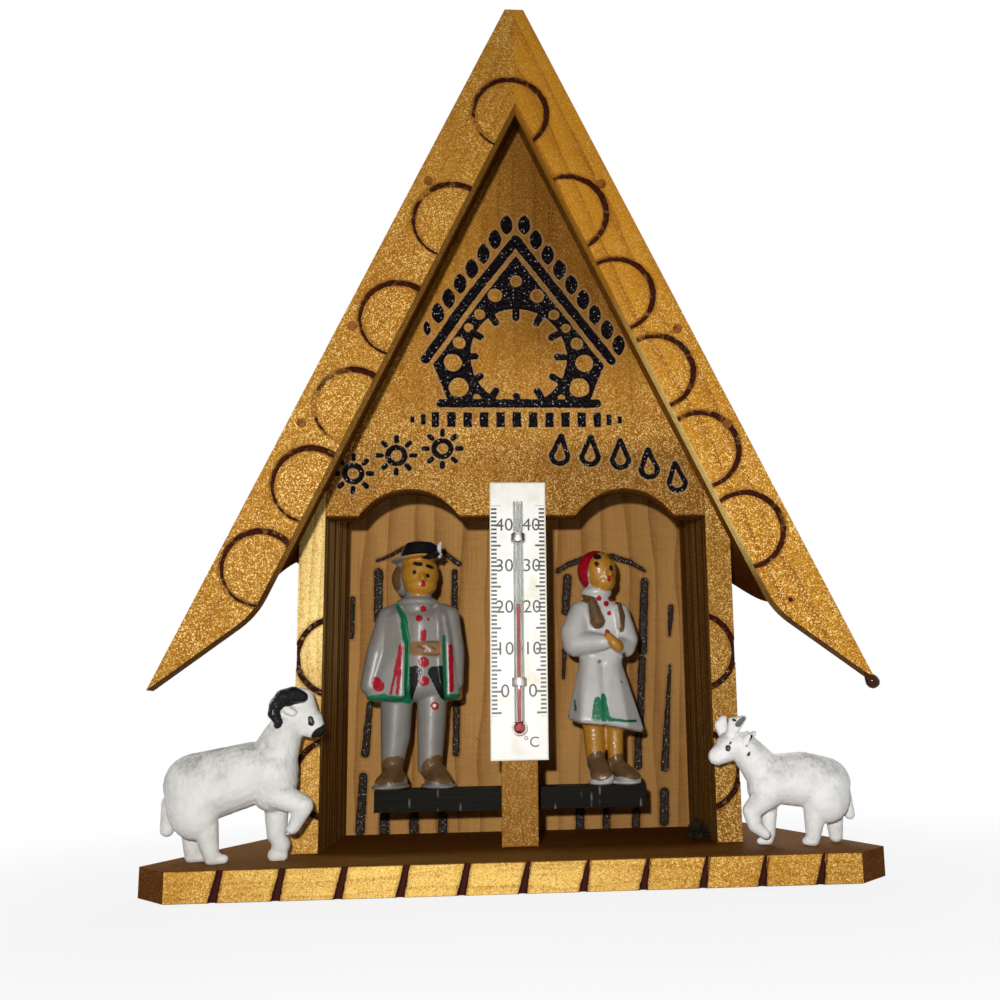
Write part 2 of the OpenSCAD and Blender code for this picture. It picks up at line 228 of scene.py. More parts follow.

# What a hot iron leaves round a distance of nought: a wavering groove with a charred rim,
# a scorched edge beside it and blisters in it, with painted glints, pale specks laid into the colour
# near the rim where a lamp would catch the blisters; Fade lets it miss the wood in places.
burnt_edge, give, take = shared_effect(
    "burnt_edge",
    {"Point": ("Vector", (0, 0, 0)), "Distance": ("Float", 1.0), "Blisters": ("Float", 0.5),
     "Fade": ("Float", 0.0)},
    {"Mark": "Float", "Core": "Float", "Scorch": "Float", "PaintedGlint": "Float", "Height": "Float"})
point = give["Point"]
edge = give["Distance"] + (cloud(point, 0.8) - 0.5) * 0.5
edge = edge + ramp(cloud(point, 0.09, 1.0), 0.47, 0.33) * give["Fade"]
mark = ramp(edge, 0.12, -0.1)
join(take["Mark"], mark)
join(take["Core"], ramp(edge, -0.02, -0.32))
join(take["Scorch"], ramp(edge, 0.8, 0.0))
bead = cells(point, 1.9)
painted_glint = ramp(bead, 0.34, 0.18) * ramp(bead.other("Color").x, 0.72, 0.95)
rim = ramp(edge, 0.05, -0.15) * ramp(edge, -1.3, -0.4, 0.25, 1.0)
join(take["PaintedGlint"], painted_glint * rim * give["Blisters"])
blister = cloud(point, 1.3, 1.0) * give["Blisters"] * mark
join(take["Height"], blister * 7.0 + ramp(edge, 0.15, -0.5, 0.0, -2.0))


def finish(name):
    """A new material, its shader, and a point on the piece in millimetres."""
    material = bpy.data.materials.new(name)
    material.use_nodes = True
    tree = material.node_tree
    point = lay(tree, "TexCoord", output="Object") * (1000, 1000, 1000)
    return material, tree.nodes["Principled BSDF"], point


def set_looks(surface, **looks):
    """Feeds a shader's sockets; an underscore stands for the space in a socket's name."""
    for name, look in looks.items():
        join(surface.inputs[name.replace("_", " ")], look)


def varnished_pine(name, grain, pale, deep, bands=0.3, figure=0.6, glint=0.5, burnt=None,
                   char=(0.075, 0.011, 0.004), blisters=0.0, fade=0.0, darkening=None, dull=0.0,
                   gloss=0.04, under=0.92, scorch=(0.13, 0.035, 0.008)):
    """Golden varnished pine; grain turns the boards, burnt gives the distance to burnt marks.

    pale, glint and under may differ from point to point. glint lays painted glints into the colour, and
    under is painted shade: the share by which faces that look down are darkened as if in shade."""
    material, surface, point = finish(name)
    pale, glint, under = (look(point) if callable(look) else look for look in (pale, glint, under))
    turned = lay(point.tree, "Mapping", point, (0, 0, 0), [math.radians(a) for a in grain])
    wood = use(pine_grain, Grain=turned, Pale=pale, Deep=deep, Bands=bands, Figure=figure)
    glints = use(varnish_glints, Point=point)
    colour = tint(glints["DarkSpeck"] * (glint * 0.75 + 0.1), wood["Colour"], wood["Colour"] * (0.46, 0.4, 0.34))
    # Painted glints: cream specks laid into the colour; the dark specks above are scaled with them.
    colour = tint(glints["Glint"] * glint, colour, (0.96, 0.68, 0.25))
    colour = tint(glints["Pit"] * 0.75, colour, (0.05, 0.014, 0.004))
    # Painted shade: faces that look down are darkened by under as if in shade; darkening adds the piece's
    # other darker places.
    shade_and_darkening = ramp(facing(point).z, -0.2, -0.38) * under
    if darkening:
        shade_and_darkening = most(shade_and_darkening, darkening(point))
    colour = tint(shade_and_darkening, colour, colour * (0.16, 0.08, 0.04))
    height = glints["Height"] * 0.6 + wood["Height"] * 0.5
    rough = glints["Height"] * 0.3 + (shade_and_darkening * 0.4 + (0.25 + dull))
    if burnt:
        iron = use(burnt_edge, Point=point, Distance=burnt(point), Blisters=blisters, Fade=fade)
        colour = tint(iron["Scorch"] * 0.45, colour, scorch)
        rim = (char[0] * 0.2, char[1] * 0.3, char[2] * 0.4)
        colour = tint(iron["Mark"], colour, tint(iron["Core"], rim, char))
        # Painted glints on the burnt marks.
        colour = tint(iron["PaintedGlint"], colour, (0.75, 0.73, 0.7))
        clear = 1.0 - iron["Mark"]
        height = height * clear + iron["Height"]
        rough = rough * clear + iron["Mark"] * 0.14
    set_looks(surface, Base_Color=colour, Roughness=rough, Normal=bumped(height, 0.6, 0.25),
              Specular_IOR_Level=gloss)
    return material


def dress(node, material, edge=0.0):
    """Gives a piece of the frame its material, and sanded edges of a width in millimetres."""
    piece = cad[node]
    piece.data.materials.clear()
    piece.data.materials.append(material)
    if edge:
        weld = piece.modifiers.new("seams", "WELD")
        weld.merge_threshold = 0.01 * MM
        flat = piece.modifiers.new("flat_faces", "DECIMATE")
        flat.decimate_type = "DISSOLVE"
        flat.angle_limit = math.radians(0.5)
        bevel = piece.modifiers.new("eased_edges", "BEVEL")
        bevel.width = edge * MM
        bevel.segments = 2
        bevel.limit_method = "ANGLE"
        bevel.angle_limit = math.radians(50)


def before(point, depth, marks):
    """Keeps burnt marks to what lies in front of a depth, so that only the board's face has them."""
    return most(marks, point.y - depth)


BASE_TOP = 6.0
STROKE_PITCH = 11.72
STROKE_LEAN = 0.2126
FIRST_STROKE = -58.39


def base_strokes(point):
    lean = point.x - point.z * STROKE_LEAN - FIRST_STROKE
    turn = clip(rounded(lean / STROKE_PITCH), 0.0, 10.0)
    tip = ramp(point.x, -15.0, 15.0, 0.6, 0.28)
    wedge = ramp(point.z, 0.0, BASE_TOP, 0.9, tip, "LINEAR")
    return most(abs(lean - turn * STROKE_PITCH) - wedge, facing(point).y * 20.0 + 6.0)


def base_shade_and_darkening(point):
    """The top is darkened with painted shade, as if the light only grazed it, most inside the doors under the
    roof; the cut corners are darker too.
    """
    inside = ramp(point.y, -24.0, -8.0) * ramp(abs(point.x), 56.0, 42.0)
    top = ramp(point.z, BASE_TOP - 0.2, BASE_TOP - 0.05) * (inside * 0.14 + 0.85)
    corner = ramp(abs(facing(point).x), 0.3, 0.6) * ramp(point.y, -18.0, -24.0, 0.45, 0.93)
    return most(top, corner)


def base_painted_light(point):
    """Painted light: the front is paler round a point a little left of the middle, in front of the key lamp.
    """
    return tint(ramp(abs(point.x + 14.0), 16.0, 58.0), (0.84, 0.54, 0.13), (0.52, 0.25, 0.03))


dress("base_board", varnished_pine(
    "base_pine", (0, 0, 0), base_painted_light, (0.38, 0.15, 0.014), bands=0.35, figure=0.5, glint=0.9,
    burnt=base_strokes, char=(0.045, 0.011, 0.008), darkening=base_shade_and_darkening, gloss=0.02), edge=0.35)


# Side walls: two upright pine boards with the grain standing, let in between base and roof.
# Half rings are burnt across their front edges with a round iron.
UPRIGHT = (0, 90, 0)
WALL_EDGE = -10.1


def place(x, y, z):
    return lay(tree_of(x, y, z), "CombineXYZ", x, y, z)


def wall_rings(point):
    low, pitch, radius, half = 21.5, 26.3, 8.4, 0.6
    turn = clip(rounded((point.z - low) / pitch))
    arm = place(point.z - turn * pitch - low, abs(point.x) - 40.0, 0.0)
    return before(point, WALL_EDGE, abs(work("LENGTH", arm) - radius) - half)


def wall_inner_darkening(point):
    """The faces that look into the room are darker, in stripes along the grain, the left one a little more.
    """
    stripe = cloud(point * (0, 0.55, 0.008), 1.0, 3.0, 0.65)
    inner = ramp(abs(point.x), 43.3, 43.1) * ramp(point.y, -10.6, -10.2) * ramp(point.x, -5.0, 5.0, 1.0, 0.94)
    return inner * ramp(stripe, 0.4, 0.58, 0.45, 0.97)


def left_painted_sheen(point):
    """Painted sheen: the front edge of the left wall is paler higher up, the lamp's glare on the varnish laid
    into its colour; its outer face isn't.
    """
    edge = tint(ramp(point.z, 30.0, 52.0), (0.52, 0.25, 0.032), (0.94, 0.71, 0.26))
    return tint(ramp(facing(point).x, -0.7, -0.9), edge, (0.48, 0.225, 0.026))


# The walls are one wood: the left one's paler colours are painted sheen, the right one's darker colours
# painted shade, for how the lamp falls on each.
for node, pale, deep in (("left_wall", left_painted_sheen, (0.5, 0.25, 0.045)),
                         ("right_wall", (0.32, 0.145, 0.014), (0.2, 0.064, 0.005))):
    dress(node, varnished_pine(node + "_pine", UPRIGHT, pale, deep, bands=0.4, glint=0.9, burnt=wall_rings,
                               darkening=wall_inner_darkening, gloss=0.05), edge=0.35)


# Back wall: pale unvarnished-looking pine with upright grain, and the scene behind the
# figures drawn on it with the iron: an arch over each head and posts beside them.
BACK_FACE = 25.9
WALL_MARKS = [
    (-36.3, 75, -33.7, 75.9, 0.36, 0.46), (-33.7, 75.9, -30.2, 77.9, 0.46, 0.51),
    (-30.2, 77.9, -25.6, 79.5, 0.51), (-25.6, 79.5, -19.9, 77.5, 0.51, 0.61),
    (-19.9, 77.5, -15.3, 74, 0.61, 0.72),
    (10.5, 71.9, 13.4, 73.6, 0.69, 0.79), (13.4, 73.6, 17.2, 74.9, 0.79, 0.84),
    (17.2, 74.9, 25, 75.5, 0.79, 0.84), (25, 75.5, 29.8, 74, 0.84, 0.74), (29.8, 74, 33.3, 71.8, 0.58, 0.47),
    (-42.5, 65, -42.5, 55.3, 0.66), (-35.9, 71.8, -35.9, 59.8, 1.18, 1.07),
    (-37.6, 38.2, -38.6, 25.9, 0.72, 1.07), (-39, 20.1, -39.6, 7, 1.02, 1.18),
    (-16.3, 71.8, -16.4, 53.5, 0.77, 0.87), (-15.8, 49.4, -15.9, 25.5, 0.87),
    (13, 70, 12.4, 61.2, 1.11, 1.05), (12, 51.1, 11.6, 44, 0.63, 0.42), (33.3, 68.8, 32.3, 50.8, 1.05, 1.21),
    (32.1, 48.4, 31.1, 31.4, 1.0, 0.9), (30.6, 28.9, 30.3, 21.4, 0.95, 1.0),
    (40.1, 62, 39.5, 54.7, 0.79, 0.42), (39.3, 46.7, 37.2, 20.8, 0.37, 1.05),
    (36.9, 14.7, 36.6, 7.4, 1.16, 1.21),
    (-33.6, 10.3, -33.6, 6, 1.18), (-26.3, 10.1, -26.3, 6, 1.18), (-19.2, 10, -19.2, 6, 1.12),
    (15.3, 10.4, 15.1, 6, 1.11), (22, 10.2, 21.8, 6, 0.95), (29.5, 10, 29.3, 6, 1.05)]

# Distance in millimetres to a straight stroke that may widen along its length.
tapered_stroke, give, take = shared_effect(
    "tapered_stroke",
    {"Point": ("Vector", (0, 0, 0)), "From": ("Vector", (0, 0, 0)), "To": ("Vector", (0, 0, 0)),
     "Start": ("Float", 0.5), "End": ("Float", 0.5)}, {"Distance": "Float"})
reach = give["Point"] - give["From"]
line = give["To"] - give["From"]
along = clip(work("DOT_PRODUCT", reach, line) / most(work("DOT_PRODUCT", line, line), 0.0001))
foot = lay(tapered_stroke, "VectorMath", line, None, None, along, operation="SCALE")
width = ramp(along, 0.0, 1.0, give["Start"], give["End"], "LINEAR")
join(take["Distance"], work("LENGTH", reach - foot) - width)


def least(*values):
    return functools.reduce(lambda a, b: work("MINIMUM", a, b), values)


def stroke(point, start, end, *half):
    """Distance to a stroke between two places, (x, y, z) or (x, z), with its half width, or one for each."""
    start, end = (spot if len(spot) == 3 else (spot[0], 0, spot[1]) for spot in (start, end))
    return use(tapered_stroke, Point=point, From=start, To=end, Start=half[0], End=half[-1])["Distance"]


def after(point, value):
    """The same point, worked out only after value, so that long rows of strokes stay light."""
    return point + place(value, value, value) * (1e-9, 1e-9, 1e-9) if value else point


def back_wall_marks(point):
    flat, found = place(point.x, 0.0, point.z), None
    for x0, z0, x1, z1, *half in WALL_MARKS:
        mark = stroke(after(flat, found), (x0, z0), (x1, z1), *half)
        found = least(found, mark) if found else mark
    return before(point, BACK_FACE, found)


def back_darkening(point):
    """The board is a little darker behind the right door."""
    return ramp(point.x, 4.0, 24.0, 0.0, 0.16)


dress("back_wall", varnished_pine(
    "back_pine", UPRIGHT, (0.45, 0.235, 0.07), (0.22, 0.088, 0.02), bands=0.16, figure=0.75, glint=0.06,
    burnt=back_wall_marks, char=(0.03, 0.02, 0.013), blisters=0.4, darkening=back_darkening, dull=0.3,
    gloss=0.06), edge=0.3)


# Front gable: a pine board between the bargeboards with two door arches sawn in it. A
# rosette under a chevron of lozenges is branded on it black, with suns over one door and
# raindrops over the other.
AMBER = (0.26, 0.086, 0.006)
GABLE_FACE = -10.3
ROSETTE_Z = 116.9


def fading(low, high, start, end):
    """A share that changes from low to high between two heights on the piece."""
    return lambda point: ramp(point.z, start, end, low, high)


def gable_brand(point):
    """The left half mirrors the right one, set a little to the side lower down."""
    wide = most(point.x, ramp(point.z, 134.0, 114.0, 0.1, 1.25) - point.x)
    left = ramp(point.x, 0.01, -0.01)
    flat = place(wide, 0.0, point.z)
    real = place(point.x, 0.0, point.z)

    def edge(x, z, nx, nz):
        return wide * nx + (point.z * nz - (x * nx + z * nz))

    def disc(x, z, r, here=flat):
        return work("DISTANCE", here, (x, 0, z)) - r

    def spokes(x, z, count, inner, outer, half):
        """Short bars all round a centre."""
        step = math.tau / count
        dx, dz = point.x - x, point.z - z
        angle = work("ARCTAN2", dz, dx)
        swung = angle - rounded(angle / step) * step
        out = work("LENGTH", place(dx, dz, 0.0))
        arm = place(out * work("COSINE", swung), 0.0, out * work("SINE", swung))
        return stroke(arm, (inner, 0), (outer, 0), half)

    # the black field with the holes left in it, the rosette and the two border lines
    field = most(edge(0, 142.0, 0.798, 0.602), edge(20.3, 114.6, 0.93, -0.367), edge(0, 105.2, 0, -1))
    for x, z, r in ((5, 132, 1.7), (0, 135.6, 1.5), (8.9, 127.3, 1.3), (11.7, 124, 1.1), (14.2, 120.2, 1.5),
                    (15.9, 115.4, 2.1), (14.6, 109.4, 2.3), (10.4, 106.9, 0.9), (0, ROSETTE_Z, 11.8)):
        field = most(field, disc(x, z, r) * -1.0)
    marks = [field, spokes(0, ROSETTE_Z, 12, 9.6, 11.6, 0.8), stroke(flat, (0, 105.6), (18.6, 105.6), 1.0),
             stroke(flat, (0, 146), (22.2, 116.2), 1.2, 1.05)]

    # the lozenges down the chevron, one fewer on the left
    first_x, first_z, step_x, step_z = 2.16, 149.8, 2.74, 3.73
    along = (wide - first_x) * step_x - (point.z - first_z) * step_z
    turn = least(most(rounded(along / (step_x ** 2 + step_z ** 2)), 0.0), 8.0 - left)
    dx = abs(wide - turn * step_x - first_x)
    dz = abs(point.z + turn * step_z - first_z)
    faint = left * ramp(turn, 6.4, 6.6, 0.0, 0.6)
    marks.append(work("LENGTH", place(dx + 1.5, dz, 0.0)) - 2.95 + faint)

    # the row of bars below, closer and smaller at its ends
    pitch = 3.75
    crowd = most(abs(point.x) - 19.0, 0.0) * 0.49
    row = (point.x + work("SIGN", point.x) * crowd) / pitch
    turn = clip(rounded(row), -7.0, 7.0)
    small = most(abs(turn) - 5.0, 0.0) * 0.5
    dx = abs(row - turn) * pitch + small * 0.3
    dz = abs(point.z - 101.7) + small
    marks.append(most(dx - 0.95, dz - 1.75))

    # the suns and the raindrops
    for x, z in ((-37, 89), (-27.4, 93.2), (-17, 94.8)):
        marks += [abs(disc(x, z, 1.9, real)) - 0.6, spokes(x, z, 8, 3.4, 4.2, 0.55)]
    for x, z, lean in ((9.8, 94.6, 0.4), (16.8, 94.4, 0.2), (23.8, 93.6, 0), (30.4, 91.4, -0.2),
                       (36.8, 88.2, -0.4)):
        marks.append(abs(stroke(real, (x + lean, z + 3), (x, z - 1.4), 0.1, 1.9)) - 0.6)
    return before(point, GABLE_FACE, least(*marks))


def gable_darkening(point):
    """Darker over the right door and up the right side."""
    low = ramp(point.z, 100.0, 92.0) * ramp(point.x, -8.0, 12.0, 0.2, 0.45)
    high = ramp(point.z, 108.0, 128.0) * ramp(point.x, -14.0, 6.0, 0.0, 0.55)
    return most(low, high)


dress("front_gable", varnished_pine(
    "gable_pine", UPRIGHT, (0.4, 0.172, 0.017), AMBER, bands=0.22, glint=fading(1.0, 0.4, 90.0, 130.0),
    burnt=gable_brand, char=(0.006, 0.004, 0.005), blisters=0.7, darkening=gable_darkening,
    scorch=(0.36, 0.24, 0.12)), edge=0.4)
dress("door_post", varnished_pine(
    "post_pine", UPRIGHT, (0.28, 0.12, 0.012), (0.2, 0.066, 0.005), glint=0.35), edge=0.4)


# Roof: two pine panels mitred along the ridge, with eaves that sweep up towards the rear,
# and a block glued under the ridge that carries the hanging.
SLOPE = 64.8
# Painted shade: the roof's faces that look down are darkened, most at the eaves and less towards the ridge.
roof_pine = varnished_pine("roof_pine", (0, SLOPE, 0), (0.36, 0.155, 0.018), (0.18, 0.06, 0.006), glint=0.3,
                           gloss=0.0, under=fading(0.97, 0.55, 62.0, 88.0))
for node in ("left_roof_panel", "right_roof_panel"):
    dress(node, roof_pine, edge=0.4)
dress("ridge_block", varnished_pine(
    "block_pine", (0, 0, 90), (0.4, 0.2, 0.05), (0.2, 0.08, 0.016), bands=0.4, glint=0.1), edge=0.3)


# Bargeboards: two golden boards nailed on the front edges of the roof, sawn to long points
# below. A round iron has burnt a row of rings that run off their lower edges, and a drop
# of varnish has dried under the right point.
GOLD = (0.38, 0.17, 0.016)
BARGE_FACE = -39.4
LEFT_RINGS = [(-1, 159.7, 7.7), (-13.1, 135.3, 7.9), (-24, 113.8, 7.6), (-32.7, 95.4, 7.5),
              (-40.5, 79.3, 7.4), (-49.8, 62.9, 7.2)]
RIGHT_RINGS = [(-1, 159.7, 7.7), (10.7, 137.3, 8.2), (20.5, 119.5, 7.7), (28.4, 102.9, 7.6), (37, 86.5, 7.7),
               (45.4, 69.9, 7.6), (53.8, 55.7, 0)]


def barge_rings(rings, lean):
    """Rings burnt one by one at (x, z, radius); lean is the side on which the iron bit deeper."""
    def marks(point):
        flat, found = place(point.x, 0.0, point.z), None
        for x, z, radius in rings:
            arm = after(flat, found) - (x, 0, z)
            half = work("DOT_PRODUCT", arm, lean) * 0.025 + 0.42
            mark = abs(work("LENGTH", arm) - radius) - half
            found = least(found, mark) if found else mark
        return before(point, BARGE_FACE, found)
    return marks


def right_painted_highlight(point):
    """Painted highlight: a bright gold along the lower inner edge of the right board, where the varnish
    catches the lamp; the rest of the board is a brighter gold than the left one, painted light as well.
    """
    highlight = ramp(facing(point).x, -0.5, -0.8) * ramp(point.z, 96.0, 122.0, 1.0, 0.0)
    return tint(highlight, (0.46, 0.198, 0.013), (1, 0.74, 0.24))


# Painted shade on the bargeboards' faces that look down, strong at the long points and gone from 70 mm up.
points_painted_shade = fading(0.85, 0.0, 58.0, 70.0)
dress("left_bargeboard", varnished_pine(
    "left_barge_pine", (0, SLOPE, 0), GOLD, AMBER, bands=0.28, figure=0.55, under=points_painted_shade,
    glint=fading(0.85, 0.5, 90.0, 170.0), burnt=barge_rings(LEFT_RINGS, (0.4, 0, 0.9)), fade=0.3), edge=0.3)
dress("right_bargeboard", varnished_pine(
    "right_barge_pine", (0, -SLOPE, 0), right_painted_highlight, AMBER, bands=0.22, figure=0.85, under=points_painted_shade,
    glint=fading(0.9, 0.2, 70.0, 150.0), burnt=barge_rings(RIGHT_RINGS, (0.8, 0, 0.5))), edge=0.3)


def cast(name, bm):
    """Turns a worked-out shape into a mesh."""
    mesh = bpy.data.meshes.new(name)
    bm.to_mesh(mesh)
    bm.free()
    return mesh


def put_in(name, data):
    """Puts a mesh, a lamp or a camera into the scene."""
    piece = bpy.data.objects.new(name, data)
    bpy.context.scene.collection.objects.link(piece)
    return piece


varnish, surface, point = finish("run_varnish")
set_looks(surface, Base_Color=tint(cloud(point, 0.9), (0.012, 0.003, 0.001), (0.06, 0.013, 0.002)),
          Roughness=0.08, Specular_IOR_Level=0.15)
bm = bmesh.new()
outline = [bm.verts.new((r, 0, z)) for r, z in (
    (0, -1.7), (0.7, -1.5), (1.15, -0.9), (1.2, -0.2), (0.85, 0.6), (0.45, 1.3), (0, 1.9))]
line = [bm.edges.new(pair) for pair in zip(outline, outline[1:])]
bmesh.ops.spin(bm, geom=outline + line, cent=(0, 0, 0), axis=(0, 0, 1), angle=math.tau, steps=20,
               use_merge=True, use_duplicate=False)
bmesh.ops.remove_doubles(bm, verts=bm.verts, dist=0.01)
bmesh.ops.recalc_face_normals(bm, faces=bm.faces)
hang = Matrix.Translation(Vector((69.2, -39.2, 39.8)) * MM) @ Matrix.Rotation(math.radians(-38), 4, "Y")
bmesh.ops.transform(bm, matrix=hang @ Matrix.Scale(1.15 * MM, 4), verts=bm.verts)
drop = put_in("varnish_drop", cast("varnish_drop", bm))
drop.data.shade_smooth()
drop.data.materials.append(varnish)
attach(drop, "house")


# Thermometer: a printed card strip pinned to the door post over the lower edge of the
# gable, with a glass tube of red spirit held on it by two bent metal straps.
INK = (0.012, 0.012, 0.014)
NOUGHT_Z = 34.85
DEGREE = 0.93
PRINT_FACE = -11.72

card, surface, point = finish("scale_card")
side = abs(point.x)
step = (point.z - NOUGHT_Z) / DEGREE
near = abs(step - rounded(step))
five = abs(step / 5.0 - rounded(step / 5.0))
inner = 4.75 - ramp(five, 0.11, 0.08) * 0.9
tick = ramp(near, 0.3, 0.2) * ramp(side - inner, -0.05, 0.05) * ramp(side, 6.05, 5.95)
tick = tick * ramp(point.z, 33.9, 34.3) * ramp(point.z, 81.4, 81.0) * ramp(point.y, -11.5, -11.6)
rim = ramp(most(side - 6.3, abs(point.z - 55.6) - 31.0), -0.5, 0.05)
paper = tint(ramp(cloud(point, 0.16, 3.0, 0.6), 0.45, 0.8), (0.74, 0.73, 0.68), (0.6, 0.55, 0.42))
paper = tint(rim * 0.7, paper, (0.42, 0.33, 0.2))
set_looks(surface, Base_Color=tint(tick, paper, INK), Roughness=0.45)
dress("thermometer_scale", card)


def printed(text, size, x, z):
    """A number printed on the scale card."""
    letters = bpy.data.curves.new("numeral", "FONT")
    letters.body = text
    letters.size = size * MM
    letters.align_x = "CENTER"
    letters.align_y = "CENTER"
    letters.extrude = 0.02 * MM
    letters.resolution_u = 4
    piece = bpy.data.objects.new("numeral", letters)
    mesh = bpy.data.meshes.new_from_object(piece)
    bpy.data.objects.remove(piece)
    stood = Matrix.Rotation(math.radians(90), 4, "X")
    mesh.transform(Matrix.Translation(Vector((x, PRINT_FACE, z)) * MM) @ stood)
    return mesh


ink, surface, point = finish("printing_ink")
wear = ramp(cloud(point, 1.4), 0.55, 0.8)
set_looks(surface, Base_Color=tint(wear, INK, (0.09, 0.09, 0.085)), Roughness=0.5)
bm = bmesh.new()
for index, label in enumerate(("40", "30", "20", "10", "0")):
    for x in (-3.05, 3.05):
        bm.from_mesh(printed(label, 4.1, x, 76.7 - 9.3 * index))
bm.from_mesh(printed("°C", 3.2, 2.6, 28.4))
numerals = put_in("scale_numerals", cast("scale_numerals", bm))
numerals.data.materials.append(ink)
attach(numerals, "house")

glass, surface, point = finish("tube_glass")
set_looks(surface, Base_Color=(0.93, 0.96, 0.95), Transmission_Weight=1.0, IOR=1.47,
          Roughness=cloud(point, 0.7) * 0.06)
dress("thermometer_tube", glass)
spirit, surface, point = finish("red_spirit")
set_looks(surface, Base_Color=tint(cloud(point, 0.5), (0.5, 0.008, 0.012), (0.3, 0.002, 0.01)),
          Roughness=0.12)
dress("thermometer_spirit", spirit)


def worn_metal(name, colour, dull, rough):
    """Bare metal with dulled patches and fine scratches."""
    material, surface, point = finish(name)
    patch = ramp(cloud(point, 0.8, 4.0, 0.6), 0.4, 0.7)
    scratch = cloud(point * (6, 6, 0.6), 1.0)
    set_looks(surface, Base_Color=tint(patch, colour, dull), Roughness=scratch * 0.3 + rough, Metallic=1.0)
    return material


dress("thermometer_clips", worn_metal("tinned_strap", (0.62, 0.61, 0.58), (0.3, 0.28, 0.25), 0.2), edge=0.1)


# Brads and nails: small steel brads through the bargeboards, sunk and brown with varnish,
# and wire nails driven up through the base.
dress("bargeboard_brads", worn_metal("varnished_brads", (0.2, 0.075, 0.015), (0.09, 0.03, 0.01), 0.45))
dress("base_nails", worn_metal("wire_nails", (0.42, 0.41, 0.4), (0.2, 0.15, 0.1), 0.25))


# Hanging: a turned button on the ridge grips a strand of twisted gut, which runs down
# through the loft to a brass stem on the beam that carries the two figures.
PIVOT = (0, 4.3, 0)
BEAM_TOP = 18.2

knob, surface, point = finish("turned_knob")
mid = point - PIVOT
grown = use(pine_grain, Grain=mid, Pale=GOLD, Deep=AMBER, Bands=0.5, Figure=0.6)
turning = work("SINE", mid.z * 14.0)
set_looks(surface, Base_Color=grown["Colour"], Roughness=0.3, Specular_IOR_Level=0.1,
          Normal=bumped(turning, 0.4, 0.1))
dress("adjusting_knob", knob, edge=0.4)

gut, surface, point = finish("twisted_gut")
mid = point - PIVOT
twist = work("ARCTAN2", mid.y, mid.x) * 3.0 + mid.z * 3.4
ply = work("SINE", twist) * 0.5 + 0.5
set_looks(surface, Base_Color=tint(ply, (0.3, 0.19, 0.07), (0.66, 0.5, 0.24)), Roughness=0.35,
          Normal=bumped(ply, 0.8, 0.2))
dress("gut_strand", gut)
dress("hanger_stem", worn_metal("dull_brass", (0.55, 0.36, 0.11), (0.25, 0.15, 0.05), 0.25), edge=0.15)

beam, surface, point = finish("painted_beam")
brush = cloud(point * (0.1, 1.5, 1.5), 1.0, 3.0, 0.6)
specks = cells(point * (1.3, 1.3, 0.3), 0.75)
speck = ramp(specks, 0.34, 0.1) * ramp(specks.other("Color").x, 0.6, 0.8)
dark = tint(brush, (0.003, 0.003, 0.002), (0.014, 0.012, 0.009))
set_looks(surface, Base_Color=tint(speck * 0.35, dark, (0.34, 0.32, 0.27)), Roughness=brush * 0.3 + 0.3,
          Specular_IOR_Level=0.02, Normal=bumped(brush + speck, 0.4, 0.2))
dress("turnstile_beam", beam, edge=0.5)


# Man: a figure moulded in white plastic, in an open coat over a shirt and wide trousers,
# with a low round hat. Face, hat, belt and shoes are dabbed on with enamel, as are the
# edges of the coat. The figure is glued to the left end of the beam.
def pad(bm, *balls):
    """Adds the rounded solid that spans the given balls (x, y, z, radius)."""
    part = bmesh.new()
    for x, y, z, r in balls:
        bmesh.ops.create_icosphere(part, subdivisions=3, radius=r, matrix=Matrix.Translation((x, y, z)))
    if len(balls) > 1:
        bmesh.ops.delete(part, geom=part.edges[:] + part.faces[:], context="EDGES_FACES")
        spare = bmesh.ops.convex_hull(part, input=part.verts[:])["geom_interior"]
        bmesh.ops.delete(part, geom=[v for v in spare if isinstance(v, bmesh.types.BMVert)], context="VERTS")
    mesh = cast("part", part)
    bm.from_mesh(mesh)
    bpy.data.meshes.remove(mesh)


def ball(bm, centre, size, turn=(0, 0, 0)):
    spot = Matrix.LocRotScale(Vector(centre), Euler([math.radians(a) for a in turn]), Vector(size))
    bmesh.ops.create_icosphere(bm, subdivisions=3, radius=1, matrix=spot)


def moulded(name, bm, centre, body, node, grain=0.32, passes=5, texture=None):
    """Casts the padded shape in one skin, softened as a mould softens it, and puts it in place."""
    pads = put_in(name + "_pads", cast(name + "_pads", bm))
    pads.data.transform(Matrix.Translation(Vector(centre) * MM) @ Matrix.Scale(MM, 4))
    skin = pads.modifiers.new("skin", "REMESH")
    skin.mode = "VOXEL"
    skin.voxel_size = grain * MM
    soft = pads.modifiers.new("soft", "SMOOTH")
    soft.factor = 0.5
    soft.iterations = passes
    mesh = bpy.data.meshes.new_from_object(pads.evaluated_get(bpy.context.evaluated_depsgraph_get()))
    bpy.data.objects.remove(pads)
    mesh.name = name
    mesh.materials.clear()
    if texture:
        raised = [v.co + v.normal * texture(v.co / MM - Vector(centre)) * MM for v in mesh.vertices]
        for vertex, spot in zip(mesh.vertices, raised):
            vertex.co = spot
    mesh.shade_smooth()
    piece = put_in(name, mesh)
    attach(piece, body)
    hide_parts(node)
    return piece


ENAMEL = {
    "skin": (0.35, 0.16, 0.016), "black": (0.008, 0.008, 0.009), "red": (0.29, 0.004, 0.012),
    "green": (0.004, 0.12, 0.05), "brown": (0.115, 0.062, 0.026), "tan": (0.2, 0.105, 0.042),
    "white": (0.6, 0.6, 0.57), "grey": (0.12, 0.12, 0.115)}


